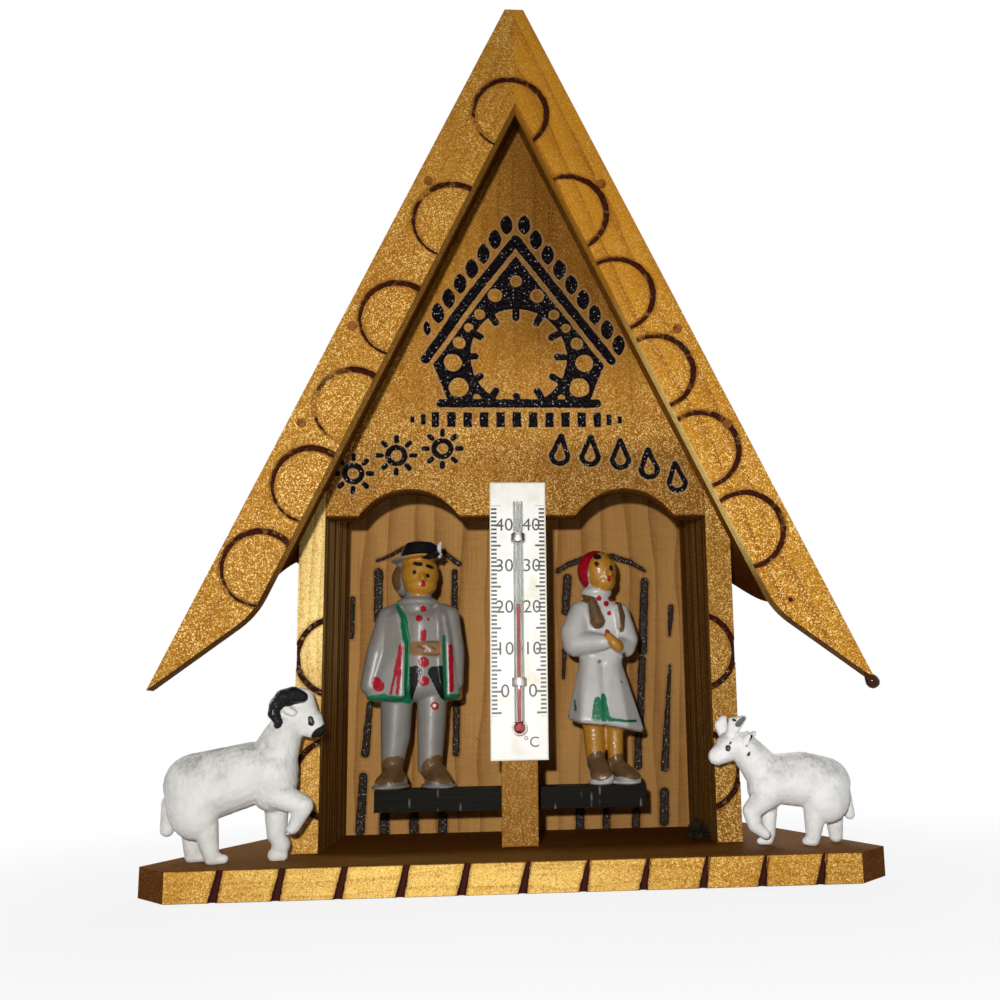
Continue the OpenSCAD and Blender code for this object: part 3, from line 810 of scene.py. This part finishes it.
def enamelled(name, centre, plastic, regions, marks, rough=0.28, bump_size=0.0, grey_top=0.0):
    """Moulded plastic with enamel dabbed on: regions are painted in depth, marks from the front."""
    material, surface, point = finish(name)
    local = point - centre
    shake = cloud(local, 1.3).other("Color")
    shaken = (shake - (0.5, 0.5, 0.5)) * (0.4, 0.4, 0.4) + local
    front = place(shaken.x, most(shaken.y, 0.0) * 4.0, shaken.z)
    blotch = cloud(local, 0.22, 3.0, 0.6)
    colour = tint(ramp(blotch, 0.4, 0.75), plastic, [c * 0.86 for c in plastic])
    if grey_top:
        # Grey laid over the faces that look up, in blotches and combed streaks.
        combed = cloud(local * (1.5, 1.5, 0.5), 1.0, 3.0, 0.7)
        greyed = ramp(facing(point).z, -0.25, 1.0) * ramp(blotch + combed, 0.8, 1.3, 0.0, grey_top)
        colour = tint(greyed, colour, (0.2, 0.185, 0.155))
    paint = last = None
    for points, strokes in ((shaken, regions), (front, marks)):
        for shade, *form in strokes:
            last = ramp(stroke(after(points, last), *form), 0.08, -0.08)
            colour = tint(last, colour, ENAMEL[shade])
            paint = most(paint, last) if paint else last
    lump = cloud(local, 0.8, 1.0) * 2.0 + 0.3
    height = paint * lump + cloud(local, 1.1, 3.0, 0.6)
    set_looks(surface, Base_Color=colour, Roughness=paint * (0.16 - rough) + (blotch * 0.15 + (rough - 0.06)),
              Normal=bumped(height, 0.35 + bump_size, 0.3), Specular_IOR_Level=0.12,
              Subsurface_Weight=0.15, Subsurface_Radius=(0.0012, 0.0011, 0.001))
    if not grey_top:
        light = work("DOT_PRODUCT", colour, (0.1, 0.36, 0.54))
        set_looks(surface, Coat_Weight=ramp(light, 0.02, 0.16, 0.08, 0.75), Coat_Roughness=0.36)
    return material


MAN = (-23.4, PIVOT[1], BEAM_TOP)
bm = bmesh.new()
for s, x in ((-1, -5.7), (1, 4.5)):
    ball(bm, (x + s * 0.3, -1.6, 0.6), (3.9, 5.8, 0.8), (0, 0, s * 26))
    pad(bm, (x - s * 1.4, 1.8, 1.8, 1.8), (x + s * 2.3, -4.0, 1.6, 1.4), (x + s * 0.3, -5.0, 1.6, 1.4),
        (x - s * 0.2, -0.6, 3.9, 2.1))
pad(bm, (-6.0, 0.4, 5, 2.5), (-4.9, 0.5, 12, 3.0), (-5.1, 0.2, 20.5, 3.8))
pad(bm, (2.6, 0.4, 5, 2.8), (2.9, 0.5, 12, 3.2), (3.1, 0.2, 20.5, 3.5))
pad(bm, *[(x, y, z, 4.0) for z in (23.8, 37.6) for x, y in ((-3.2, 0.2), (0.4, -1.2), (4.0, 0.2))])
pad(bm, (-0.4, -0.4, 42, 3.6), (-0.1, -0.4, 46, 2.7))
ball(bm, (-0.4, -0.5, 43.0), (5.0, 4.2, 1.6))
pad(bm, (-5.6, -0.2, 40.0, 2.9), (-3.4, -4.9, 21, 0.9), (-3.2, -5.0, 33, 0.9), (-4.6, -3.9, 39.8, 0.9),
    (-10.6, -4.0, 21, 0.9), (-11.2, 2.6, 21, 0.9), (-7.6, -2.6, 38.4, 1.2))
pad(bm, (5.6, -0.2, 40.0, 2.9), (7.3, -4.9, 21, 0.8), (7.0, -4.9, 33, 0.8), (6.0, -3.9, 39.4, 0.8),
    (9.0, -3.6, 21, 0.8), (9.2, 2.6, 21, 0.9))
pad(bm, (-5.8, 2.4, 40, 2.4), (5.8, 2.4, 40, 2.4), (-10.6, 4.4, 21, 1), (8.8, 4.4, 21, 1), (-8, 1, 21, 1),
    (8, 1, 21, 1))
pad(bm, (-7.0, -1.0, 39.6, 2.6), (-9.4, -2.7, 31, 2.5))
pad(bm, (-9.4, -2.7, 31, 2.5), (-11.0, -3.0, 23.6, 2.1))
pad(bm, (7.0, -1.0, 39.6, 2.6), (8.6, -2.0, 31, 2.2))
pad(bm, (8.6, -2.0, 31, 2.2), (8.8, -2.4, 24, 1.8))
pad(bm, *[(x, y, z, 0.7) for z in (31.0, 32.7)
          for x, y in ((-1.2, -4.0), (0.4, -4.6), (1.9, -4.8), (3.4, -4.6), (4.9, -4.1))])
ball(bm, (0.1, -0.4, 49.8), (4.5, 4.7, 5.0))
ball(bm, (0.4, -1.4, 47.2), (3.9, 3.7, 3.0))
ball(bm, (-2.3, 1.6, 49.0), (4.5, 3.8, 4.6))
pad(bm, (1.0, -4.7, 49.6, 0.5), (1.2, -5.2, 48.3, 0.75))
ball(bm, (-0.5, 0, 53.7), (6.5, 5.9, 0.75), (0, -7, 0))
pad(bm, *[(0.2 + r * math.cos(a), r * math.sin(a), z, 0.9) for r, z in ((3.9, 54.6), (3.0, 56.5))
          for a in [math.tau * i / 10 for i in range(10)]])
pad(bm, (4.7, -1.9, 53.6, 0.5), (4.5, -1.6, 55.2, 0.7), (5.0, -1.2, 57.3, 0.45))
man = moulded("man", bm, MAN, "turnstile", "man_figure")
man.data.materials.append(enamelled("man_enamel", MAN, (0.2, 0.188, 0.165), [
    ("skin", (0.4, -2.6, 48.4), (0.3, -2.4, 51.4), 4.2, 4.5),
    ("black", (0.2, 0.4, 56.3), (0.2, 0.4, 56.3), 4.8),
    ("black", (-2.9, -3.3, 55.5), (4.4, -3.0, 55.6), 2.5, 2.6),
    ("black", (4.2, 0, 55.2), (4.0, 3, 55.2), 2.6),
    ("brown", (-5.2, -1.4, 4.3), (-6.8, -4.4, 3.8), 3.3, 3.1),
    ("brown", (4.2, -1.4, 4.3), (5.8, -4.4, 3.8), 3.3, 3.1),
    ("brown", (-6.0, -0.9, 47.4), (-5.8, -0.9, 50.2), 1.9, 1.8),
    ("white", (4.9, -1.9, 54.2), (5, -1.2, 57.6), 0.75)], [
    ("black", (-0.6, 51.8), (0.7, 51.6), 0.5), ("black", (2.2, 51.3), (3.1, 51.0), 0.45),
    ("black", (-0.75, 49.8), (-0.7, 49.6), 0.45), ("black", (2.3, 49.0), (2.35, 48.8), 0.42),
    ("red", (1.35, 47.3), (1.35, 46.8), 0.5, 0.62),
    ("red", (1.2, 41.3), (1.3, 41.1), 0.68), ("red", (0.4, 38.9), (0.5, 38.9), 0.8, 0.75),
    ("red", (2.5, 38.7), (2.5, 38.6), 0.35), ("red", (1.5, 35.8), (1.4, 34.2), 0.62, 0.7),
    ("tan", (-0.3, 31.9), (4.4, 31.9), 1.65), ("brown", (0.4, 32.3), (2.2, 31.5), 0.3, 0.25),
    ("brown", (2.8, 32.4), (4.2, 31.7), 0.25, 0.3),
    ("black", (-0.2, 26.5), (-1.6, 20.6), 1.4, 0.6), ("black", (-1.2, 26.8), (-1.8, 20.6), 1.0, 0.7),
    ("black", (3.9, 26.4), (6.0, 21.0), 1.4, 0.8), ("black", (5.2, 26.6), (6.2, 20.8), 1.3, 0.8),
    ("red", (1.5, 28.8), (1.6, 28.7), 1.2), ("red", (1.5, 24.4), (1.8, 24.4), 1.1),
    ("red", (3.9, 18.8), (4.0, 18.7), 0.9), ("white", (3.9, 18.8), (4.0, 18.8), 0.35),
    ("green", (-4.8, 42.1), (-3.1, 38.9), 0.5, 0.7), ("green", (-3.1, 38.9), (-2.2, 33.3), 0.7, 0.75),
    ("green", (-2.2, 33.3), (-2.2, 20.3), 0.6), ("green", (-3.6, 37.8), (-2.9, 34), 0.3, 0.4),
    ("red", (-3.6, 32.3), (-4.4, 26.4), 0.5, 0.75), ("red", (-4.6, 27), (-5.8, 21.6), 0.35, 0.3),
    ("red", (-3.8, 26.8), (-4.3, 21.6), 0.5, 0.3),
    ("green", (-12.2, 20.4), (-7.2, 20.9), 0.6, 0.75), ("green", (-7.2, 20.6), (-2.2, 20.2), 0.7, 0.8),
    ("red", (-9.2, 24.4), (-8.5, 23.4), 1.1, 1.3),
    ("green", (6.2, 34.5), (6.6, 20.3), 0.45, 0.5), ("red", (7.7, 32.3), (8.0, 22.2), 0.45, 0.5),
    ("green", (7, 20.6), (9.4, 20.8), 0.6)], rough=0.36))


# Woman: moulded and painted like the man, in a flared dress with puffed sleeves, hands
# folded and a scarf over the hair, turned a little to the right, on the other end.
WOMAN = (20.2, PIVOT[1], BEAM_TOP)
bm = bmesh.new()
ball(bm, (-1.2, -1.6, 0.6), (3.4, 5.2, 0.8), (0, 0, -8))
ball(bm, (4.3, -1.8, 0.6), (3.5, 5.2, 0.8), (0, 0, 20))
pad(bm, (-1.6, 1.6, 2, 2.0), (-2.3, -4.2, 1.8, 1.7), (-0.2, -4.6, 1.8, 1.7), (-1.7, -0.6, 4.2, 2.3))
pad(bm, (3.0, 1.6, 2, 1.9), (4.9, -4.4, 1.6, 1.5), (6.3, -3.6, 1.6, 1.5), (3.3, -0.4, 3.6, 2.0))
pad(bm, (-2.3, 0.6, 4.6, 2.1), (-2.9, 0.6, 16, 2.7))
pad(bm, (2.4, 0.6, 4.6, 1.8), (2.3, 0.6, 16, 2.1))
pad(bm, (-2.7, -0.4, 28.6, 3.1), (-7.9, 0.2, 15.7, 0.9), (-5.6, -4.9, 15.0, 0.9), (-1.2, -5.5, 14.5, 0.9),
    (-5.6, 4.6, 15.0, 0.9), (-0.6, 5.2, 14.4, 0.9))
pad(bm, (1.1, -0.2, 28.2, 3.0), (0.2, -5.4, 14.4, 0.9), (4.4, -5.0, 13.6, 0.9), (8.1, -1.0, 12.7, 0.9),
    (6.2, 3.8, 13.2, 0.9), (-0.2, 5.2, 14.3, 0.9))
pad(bm, (-2.5, 0, 28.6, 3.4), (1.3, 0, 28.6, 3.2), (-2.9, 0.2, 40, 3.3), (2.4, 0.2, 40, 3.1))
pad(bm, (-5.2, 0.2, 40.4, 2.8), (-7.2, -1.2, 35.4, 3.1), (-6.7, -1.8, 32.8, 3.2))
pad(bm, (-6.7, -2.0, 32.8, 3.0), (-0.4, -4.9, 32.8, 1.9))
pad(bm, (3.9, 0.2, 40.2, 2.5), (5.6, -1.2, 33.6, 2.6), (5.2, -1.8, 31.6, 2.2))
pad(bm, (5.2, -2.0, 32, 2.2), (3.0, -4.7, 32, 1.6))
pad(bm, (0.8, -5.7, 34.1, 1.0), (1.9, -6.0, 32.5, 1.4), (2.9, -5.9, 31.4, 1.1))
pad(bm, (-2.9, -3.2, 42.6, 1.0), (-1.6, -3.7, 38, 1.6))
pad(bm, (3.4, -2.8, 41.6, 0.7), (4.0, -3.2, 36.4, 0.7))
pad(bm, (-1.3, -0.2, 42.4, 3.4), (-1.2, -0.2, 46.4, 2.7))
ball(bm, (-1.5, -0.3, 45.0), (3.8, 3.6, 1.9))
ball(bm, (-0.6, -0.4, 50.2), (4.1, 4.7, 4.9))
ball(bm, (0.2, -1.5, 47.5), (3.0, 3.4, 2.5))
pad(bm, (1.1, -4.6, 50, 0.5), (1.5, -5.2, 48.9, 0.75))
ball(bm, (-1.5, 0.7, 50.5), (4.5, 4.6, 5.0), (0, 8, 0))
woman = moulded("woman", bm, WOMAN, "turnstile", "woman_figure")
woman.data.materials.append(enamelled("woman_enamel", WOMAN, (0.42, 0.41, 0.388), [
    ("skin", (0.2, -2.6, 48.6), (0.1, -2.4, 51.4), 3.6, 4.1),
    ("red", (-4.8, -1.6, 47.6), (-4.5, -1.8, 51.2), 1.7, 2.1),
    ("red", (-4.5, -1.8, 51.2), (-1.9, -1.8, 55.2), 2.1, 1.7),
    ("red", (-2.4, 3.6, 48), (-2.4, 2.6, 53.4), 4.2, 4.4),
    ("skin", (-2.4, 0.6, 6), (-2.9, 0.6, 13.8), 3.0, 3.2), ("skin", (2.4, 0.6, 6), (2.3, 0.6, 13.2), 2.5),
    ("brown", (-1.8, -1.6, 4.4), (-1.6, -4.8, 3.9), 3.3, 3.1),
    ("brown", (3.2, -0.6, 4.2), (5.6, -4.4, 3.5), 2.8, 2.7),
    ("skin", (0.9, -6.2, 34.2), (2.8, -6.2, 31.6), 1.3, 1.6)], [
    ("black", (-1.5, 53.2), (-1.1, 53.1), 0.75, 0.7), ("black", (-1.6, 51.4), (-1.55, 51.3), 0.58),
    ("black", (1.4, 53.6), (2.2, 52.9), 0.3, 0.4), ("black", (1.9, 50.7), (1.95, 50.2), 0.42, 0.45),
    ("red", (1.2, 48.0), (1.25, 47.5), 0.38, 0.42),
    ("brown", (-5.2, 43.7), (-2.9, 42.9), 0.75, 1.0), ("brown", (-2.7, 42.4), (-1.5, 37.8), 1.1, 1.75),
    ("brown", (3.7, 42.3), (4.4, 39), 0.7, 0.75), ("brown", (4.4, 39), (4.2, 35.6), 0.75, 0.5),
    ("brown", (4.6, 29.8), (4.8, 29.4), 0.5, 0.4),
    ("red", (-1.2, 43.3), (-1.1, 43.3), 0.65), ("red", (0.6, 42.1), (0.7, 42), 0.62),
    ("red", (1.3, 39.8), (1.3, 39.7), 0.5), ("red", (1.7, 43.5), (2.1, 43.2), 0.55),
    ("red", (0.7, 35.4), (0.8, 35.3), 0.58),
    ("green", (-0.7, 20.4), (-0.6, 16), 0.5, 1.2), ("green", (-2.1, 19.3), (-2.3, 15.8), 0.8, 1.2),
    ("green", (-3.3, 15.1), (0.4, 15), 0.45, 0.7), ("green", (0.6, 14.9), (4.6, 14.4), 0.4, 0.3),
    ("green", (4.6, 14.4), (6.8, 14.5), 0.35), ("green", (-7.2, 19.6), (-7, 17.2), 0.15, 0.25),
    ("green", (-8.8, 16.1), (-8.8, 15.8), 0.3),
    ("grey", (-1.5, 28.2), (-1.2, 28.5), 0.3, 0.35), ("grey", (3.7, 23.6), (3.8, 23.5), 0.2)], rough=0.36))


# Ram and ewe: the sheep that stand glued on the base beside the doors, moulded in white
# plastic with a woolly skin, greyed in blotches along the back, with black dabs on the face.
def fleece(p):
    """Fine combed wool on the trunk, smooth on head and legs."""
    woolly = min(1, max(0, (p.z - 7) / 4)) * min(1, max(0, (25 - p.z) / 4))
    return 0.1 * woolly * noise.noise((p.x * 1.7, p.y * 1.7, p.z * 0.8), noise_basis="PERLIN_ORIGINAL")


def both(shade, start, end, *half):
    """The same dab on the left and the right of the head."""
    return [(shade, (start[0], s * start[1], start[2]), (end[0], s * end[1], end[2]), *half) for s in (-1, 1)]


RAM = (-52, -20.5, BASE_TOP)
bm = bmesh.new()
pad(bm, (-13.9, 0, 15.6, 6.2), (-13.4, 0, 13.8, 6.4), (-3, 0, 17.8, 6.0), (1, 0, 18.0, 5.6))
ball(bm, (-13.4, -2.7, 11.2), (5.2, 4.0, 6.6), (0, -12, 0))
ball(bm, (-14.4, 2.7, 11.2), (4.6, 3.8, 6.0), (0, -6, 0))
ball(bm, (1.6, -0.4, 16.0), (5.0, 5.0, 6.4))
pad(bm, (1.2, 0, 19.6, 5.0), (2.8, 0, 24, 4.0), (4.4, 0, 27.6, 3.2))
pad(bm, (5.0, 0, 30.2, 3.2), (7.3, 0, 32.6, 2.1), (8.2, 0, 29.4, 2.2))
pad(bm, (6.6, 0, 28.6, 2.7), (10.3, 0, 26.0, 1.6), (9.3, 0, 28.4, 1.9))
pad(bm, (5.6, 0, 27.8, 2.6), (9.6, 0, 25.6, 1.35))
HORN = [(7.6, 32.7, 1.2), (5.8, 33.2, 1.7), (3.8, 32.7, 1.65), (2.4, 31.2, 1.4), (2.0, 29.4, 1.2),
        (2.9, 27.8, 0.85)]
for s in (-1, 1):
    for (x0, z0, r0), (x1, z1, r1) in zip(HORN, HORN[1:]):
        pad(bm, (x0, s * 3.0, z0, r0), (x1, s * 3.5, z1, r1))
    ball(bm, (5.2, s * 3.5, 29.9), (1.7, 0.9, 0.9), (0, 24, 0))
pad(bm, (2.0, 1.4, 12, 2.6), (2.3, 1.4, 5, 2.0))
ball(bm, (3.2, 1.2, 3.0), (1.9, 1.8, 2.1))
pad(bm, (2.2, 1.2, 1.0, 1.6), (3.6, 1.0, 0.9, 1.2))
pad(bm, (3.0, -2.2, 13.2, 2.9), (8.3, -2.6, 11.0, 2.0))
pad(bm, (8.4, -2.6, 10.8, 1.9), (6.5, -2.4, 6.8, 1.3))
ball(bm, (6.2, -2.4, 6.4), (1.35, 1.35, 1.1))
pad(bm, (-10.9, -2.4, 7.4, 2.5), (-9.7, -2.4, 2, 1.6))
pad(bm, (-9.6, -2.4, 1.1, 1.4), (-7.0, -2.6, 0.9, 0.9))
pad(bm, (-15.0, 2.2, 7, 2.2), (-14.6, 2.2, 2.2, 1.8))
pad(bm, (-14.7, 2.2, 1.1, 1.5), (-12.6, 2.2, 0.9, 1.0))
pad(bm, (-19, 0.2, 12, 1.6), (-19.2, 0, 6.6, 1.4))
ram = moulded("ram", bm, RAM, "house", "ram_figure", grain=0.3, passes=4, texture=fleece)
ram.data.materials.append(enamelled("ram_enamel", RAM, (0.67, 0.66, 0.625), [
    *both("black", (7.8, 3.6, 32.9), (3.8, 4.0, 33.0), 1.6, 2.4),
    *both("black", (3.4, 4.0, 32.8), (2.0, 4.0, 31.2), 2.1, 1.9),
    *both("black", (1.7, 4.0, 30.2), (2.7, 4.0, 27.6), 1.6, 1.3),
    ("black", (10.8, 0, 25.3), (11.2, 0, 24.9), 1.95, 1.8),
    *both("black", (9.2, 2.0, 28.3), (9.4, 2.0, 27.4), 0.5, 0.62)],
    [], rough=0.5, bump_size=0.25, grey_top=0.75))

EWE = (52.5, -17.2, BASE_TOP)
bm = bmesh.new()
pad(bm, (1.6, 0, 13.8, 5.2), (8, 0, 14, 5.4), (12.8, 0, 12.6, 5.6))
ball(bm, (12.6, -2.4, 9.8), (4.8, 3.6, 5.4), (0, 8, 0))
ball(bm, (13.6, 2.2, 9.8), (4.4, 3.6, 5.0))
ball(bm, (0.2, -0.4, 12.4), (4.2, 4.6, 5.2))
pad(bm, (0.2, 0, 14.8, 4.3), (-3.8, 0, 19.8, 3.4))
pad(bm, (-4.4, 0, 20.8, 3.1), (-7.6, 0, 21.0, 2.8))
pad(bm, (-7.2, 0, 20.6, 2.9), (-10.2, 0, 18.8, 1.95))
pad(bm, (-8.4, 1.4, 23.6, 1.2), (-9.2, 1.9, 25.4, 1.0), (-8.2, 1.8, 26.8, 0.8))
pad(bm, (-7.2, -1.3, 23.6, 1.2), (-7.0, -1.9, 26.2, 0.9), (-4.5, -2.4, 26.8, 0.6))
for s in (-1, 1):
    pad(bm, (-4.6, s * 2.6, 21.4, 1.0), (-3.7, s * 3.0, 22.8, 0.9), (-2.6, s * 3.2, 23.6, 0.5))
pad(bm, (-0.8, -2.2, 10, 2.7), (-3.9, -2.6, 7.5, 1.9))
pad(bm, (-3.9, -2.6, 7.5, 1.9), (-3.3, -2.6, 4.4, 1.45))
pad(bm, (-3.3, -2.6, 4.4, 1.45), (-1.1, -2.6, 2.6, 1.1))
pad(bm, (0.8, 1.2, 8, 1.9), (0.6, 1.2, 2, 1.3))
pad(bm, (0.3, 1.0, 1.0, 1.1), (-1.5, 0.8, 0.8, 0.75))
pad(bm, (10.0, -2, 7.5, 2.5), (9.3, -2, 2, 1.6))
pad(bm, (9.2, -2, 1.1, 1.4), (7.6, -2, 0.9, 0.85))
pad(bm, (15.2, 2, 7.4, 2.1), (15.4, 2, 1.4, 1.5))
pad(bm, (17.4, 0.4, 10.6, 1.3), (18.2, 0.4, 5.9, 1.1))
ewe = moulded("ewe", bm, EWE, "house", "ewe_figure", grain=0.28, passes=4, texture=fleece)
ewe.data.materials.append(enamelled("ewe_enamel", EWE, (0.81, 0.805, 0.78), [
    ("grey", (-4.9, -3.3, 26.7), (-6.0, -3.1, 25.4), 0.6, 0.7),
    ("black", (-7.0, -2.9, 26.5), (-6.6, -2.9, 26.3), 0.3),
    *both("black", (-3.3, 4.1, 23.2), (-3.7, 4.0, 21.9), 0.35, 0.4),
    *both("black", (-4.4, 3.7, 20.9), (-4.2, 3.7, 20.7), 0.35),
    *both("black", (-8.3, 2.6, 20.7), (-8.3, 2.6, 20.4), 0.5, 0.55),
    ("black", (-7.8, -2.7, 21.5), (-7.6, -2.7, 21.7), 0.2),
    ("black", (-4.0, -3.3, 19.4), (-4.1, -3.3, 19.1), 0.25, 0.3)], [],
    rough=0.5, bump_size=0.25, grey_top=0.55))


# Moss: a pinch of dried moss glued in the corner of the room by the right door, a knot
# of thin curled stalks.
moss, surface, point = finish("dried_moss")
tone = ramp(cloud(point, 0.8, 2.0, 0.6), 0.35, 0.7)
set_looks(surface, Base_Color=tint(tone, (0.005, 0.004, 0.002), (0.03, 0.02, 0.008)), Roughness=0.7,
          Specular_IOR_Level=0.1)
bm = bmesh.new()
for i in range(220):
    swing = i * 2.39996
    lift = 0.1 + 1.4 * ((i * 0.7548777) % 1)
    tip = Vector((math.cos(swing) * math.cos(lift), math.sin(swing) * math.cos(lift), 1.45 * math.sin(lift)))
    tip *= 2.2 + 1.1 * ((i * 0.5698403) % 1)
    root = Vector((math.cos(swing * 1.7), math.sin(swing * 1.7), 0.1)) * 0.9
    side = Vector((noise.noise((i * 0.37, 0.5, 3.1)), noise.noise((i * 0.41, 5.3, 0.7)), 0.3)) * 1.4
    knee = root.lerp(tip, 0.5) + side
    for a, b, thick in ((root, knee, 0.2), (knee, tip, 0.14)):
        stalk = Matrix.Translation((a + b) / 2) @ (b - a).to_track_quat("Z", "Y").to_matrix().to_4x4()
        bmesh.ops.create_cone(bm, cap_ends=True, segments=5, radius1=thick, radius2=thick * 0.7,
                              depth=(b - a).length, matrix=stalk)
corner = Matrix.Translation(Vector((39.6, -4.8, 6.2)) * MM) @ Matrix.Scale(MM, 4)
bmesh.ops.transform(bm, matrix=corner, verts=bm.verts)
tuft = put_in("moss", cast("moss", bm))
tuft.data.materials.append(moss)
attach(tuft, "house")
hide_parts("moss_tuft")


# Camera: close in front and low, where the picture was taken from.
eye = Vector((-0.84, -233.5, 32.07)) * MM
yaw, pitch, roll = 0.069, 0.161, -0.019
ahead = Vector((math.sin(yaw) * math.cos(pitch), math.cos(yaw) * math.cos(pitch), math.sin(pitch)))
level = Vector((math.cos(yaw), -math.sin(yaw), 0))
upright = level.cross(ahead)
right = math.cos(roll) * level + math.sin(roll) * upright
up = -math.sin(roll) * level + math.cos(roll) * upright
lens = bpy.data.cameras.new("camera")
lens.sensor_width = 36
lens.lens = 36
lens.shift_x = -0.0825
lens.shift_y = 0.062
lens.clip_start = 0.005
camera = put_in("camera", lens)
camera.matrix_world = Matrix((right, up, -ahead)).transposed().to_4x4()
camera.location = eye
bpy.context.scene.camera = camera


# Stage: a white floor that fades into the white surround, a small lamp beside the camera,
# and large weaker ones behind and on both sides.
bm = bmesh.new()
bmesh.ops.create_circle(bm, cap_ends=True, segments=64, radius=0.9)
floor = put_in("floor", cast("floor", bm))
floor.location = (0, 0, -0.0002)


def seen_rays(tree):
    """Rays that see a thing as it is, which excludes those that only carry its light."""
    camera_ray = lay(tree, "LightPath", output="Is Camera Ray")
    return most(camera_ray, most(camera_ray.other("Is Glossy Ray"), camera_ray.other("Is Transmission Ray")))


paper, surface, point = finish("white_paper")
tree = point.tree
tree.nodes.remove(surface)
matt = lay(tree, "BsdfDiffuse", (0.6, 0.6, 0.6))
glow = lay(tree, "Emission", (1, 1, 1), 1.0)
far = ramp(work("LENGTH", point), 80.0, 200.0, 0.86, 1.0)
mixed = lay(tree, "MixShader", seen_rays(tree) * far, matt, glow)
join(tree.nodes["Material Output"].inputs["Surface"], mixed)
floor.data.materials.append(paper)

world = bpy.data.worlds.new("surround")
bpy.context.scene.world = world
world.use_nodes = True
tree = world.node_tree
join(tree.nodes["Background"].inputs["Strength"], ramp(seen_rays(tree), 0.0, 1.0, 0.05, 1.0, "LINEAR"))
join(tree.nodes["Background"].inputs["Color"], (1, 1, 1))


def lamp(name, spot, aim, size, power):
    light = bpy.data.lights.new(name, "AREA")
    light.shape = "DISK"
    light.size = size * MM
    light.energy = power
    piece = put_in(name, light)
    piece.location = Vector(spot) * MM
    piece.rotation_euler = (Vector(aim) - Vector(spot)).to_track_quat("-Z", "Y").to_euler()


lamp("key", (-14, -238, 50), (0, 0, 80), 6, 0.495)
lamp("rear", (60, 380, 260), (0, 0, 80), 260, 1.1)
lamp("left", (-380, 140, 200), (0, 20, 80), 220, 0.65)
lamp("right", (380, 140, 200), (0, 20, 80), 220, 0.65)
bpy.context.scene.view_settings.view_transform = "Standard"
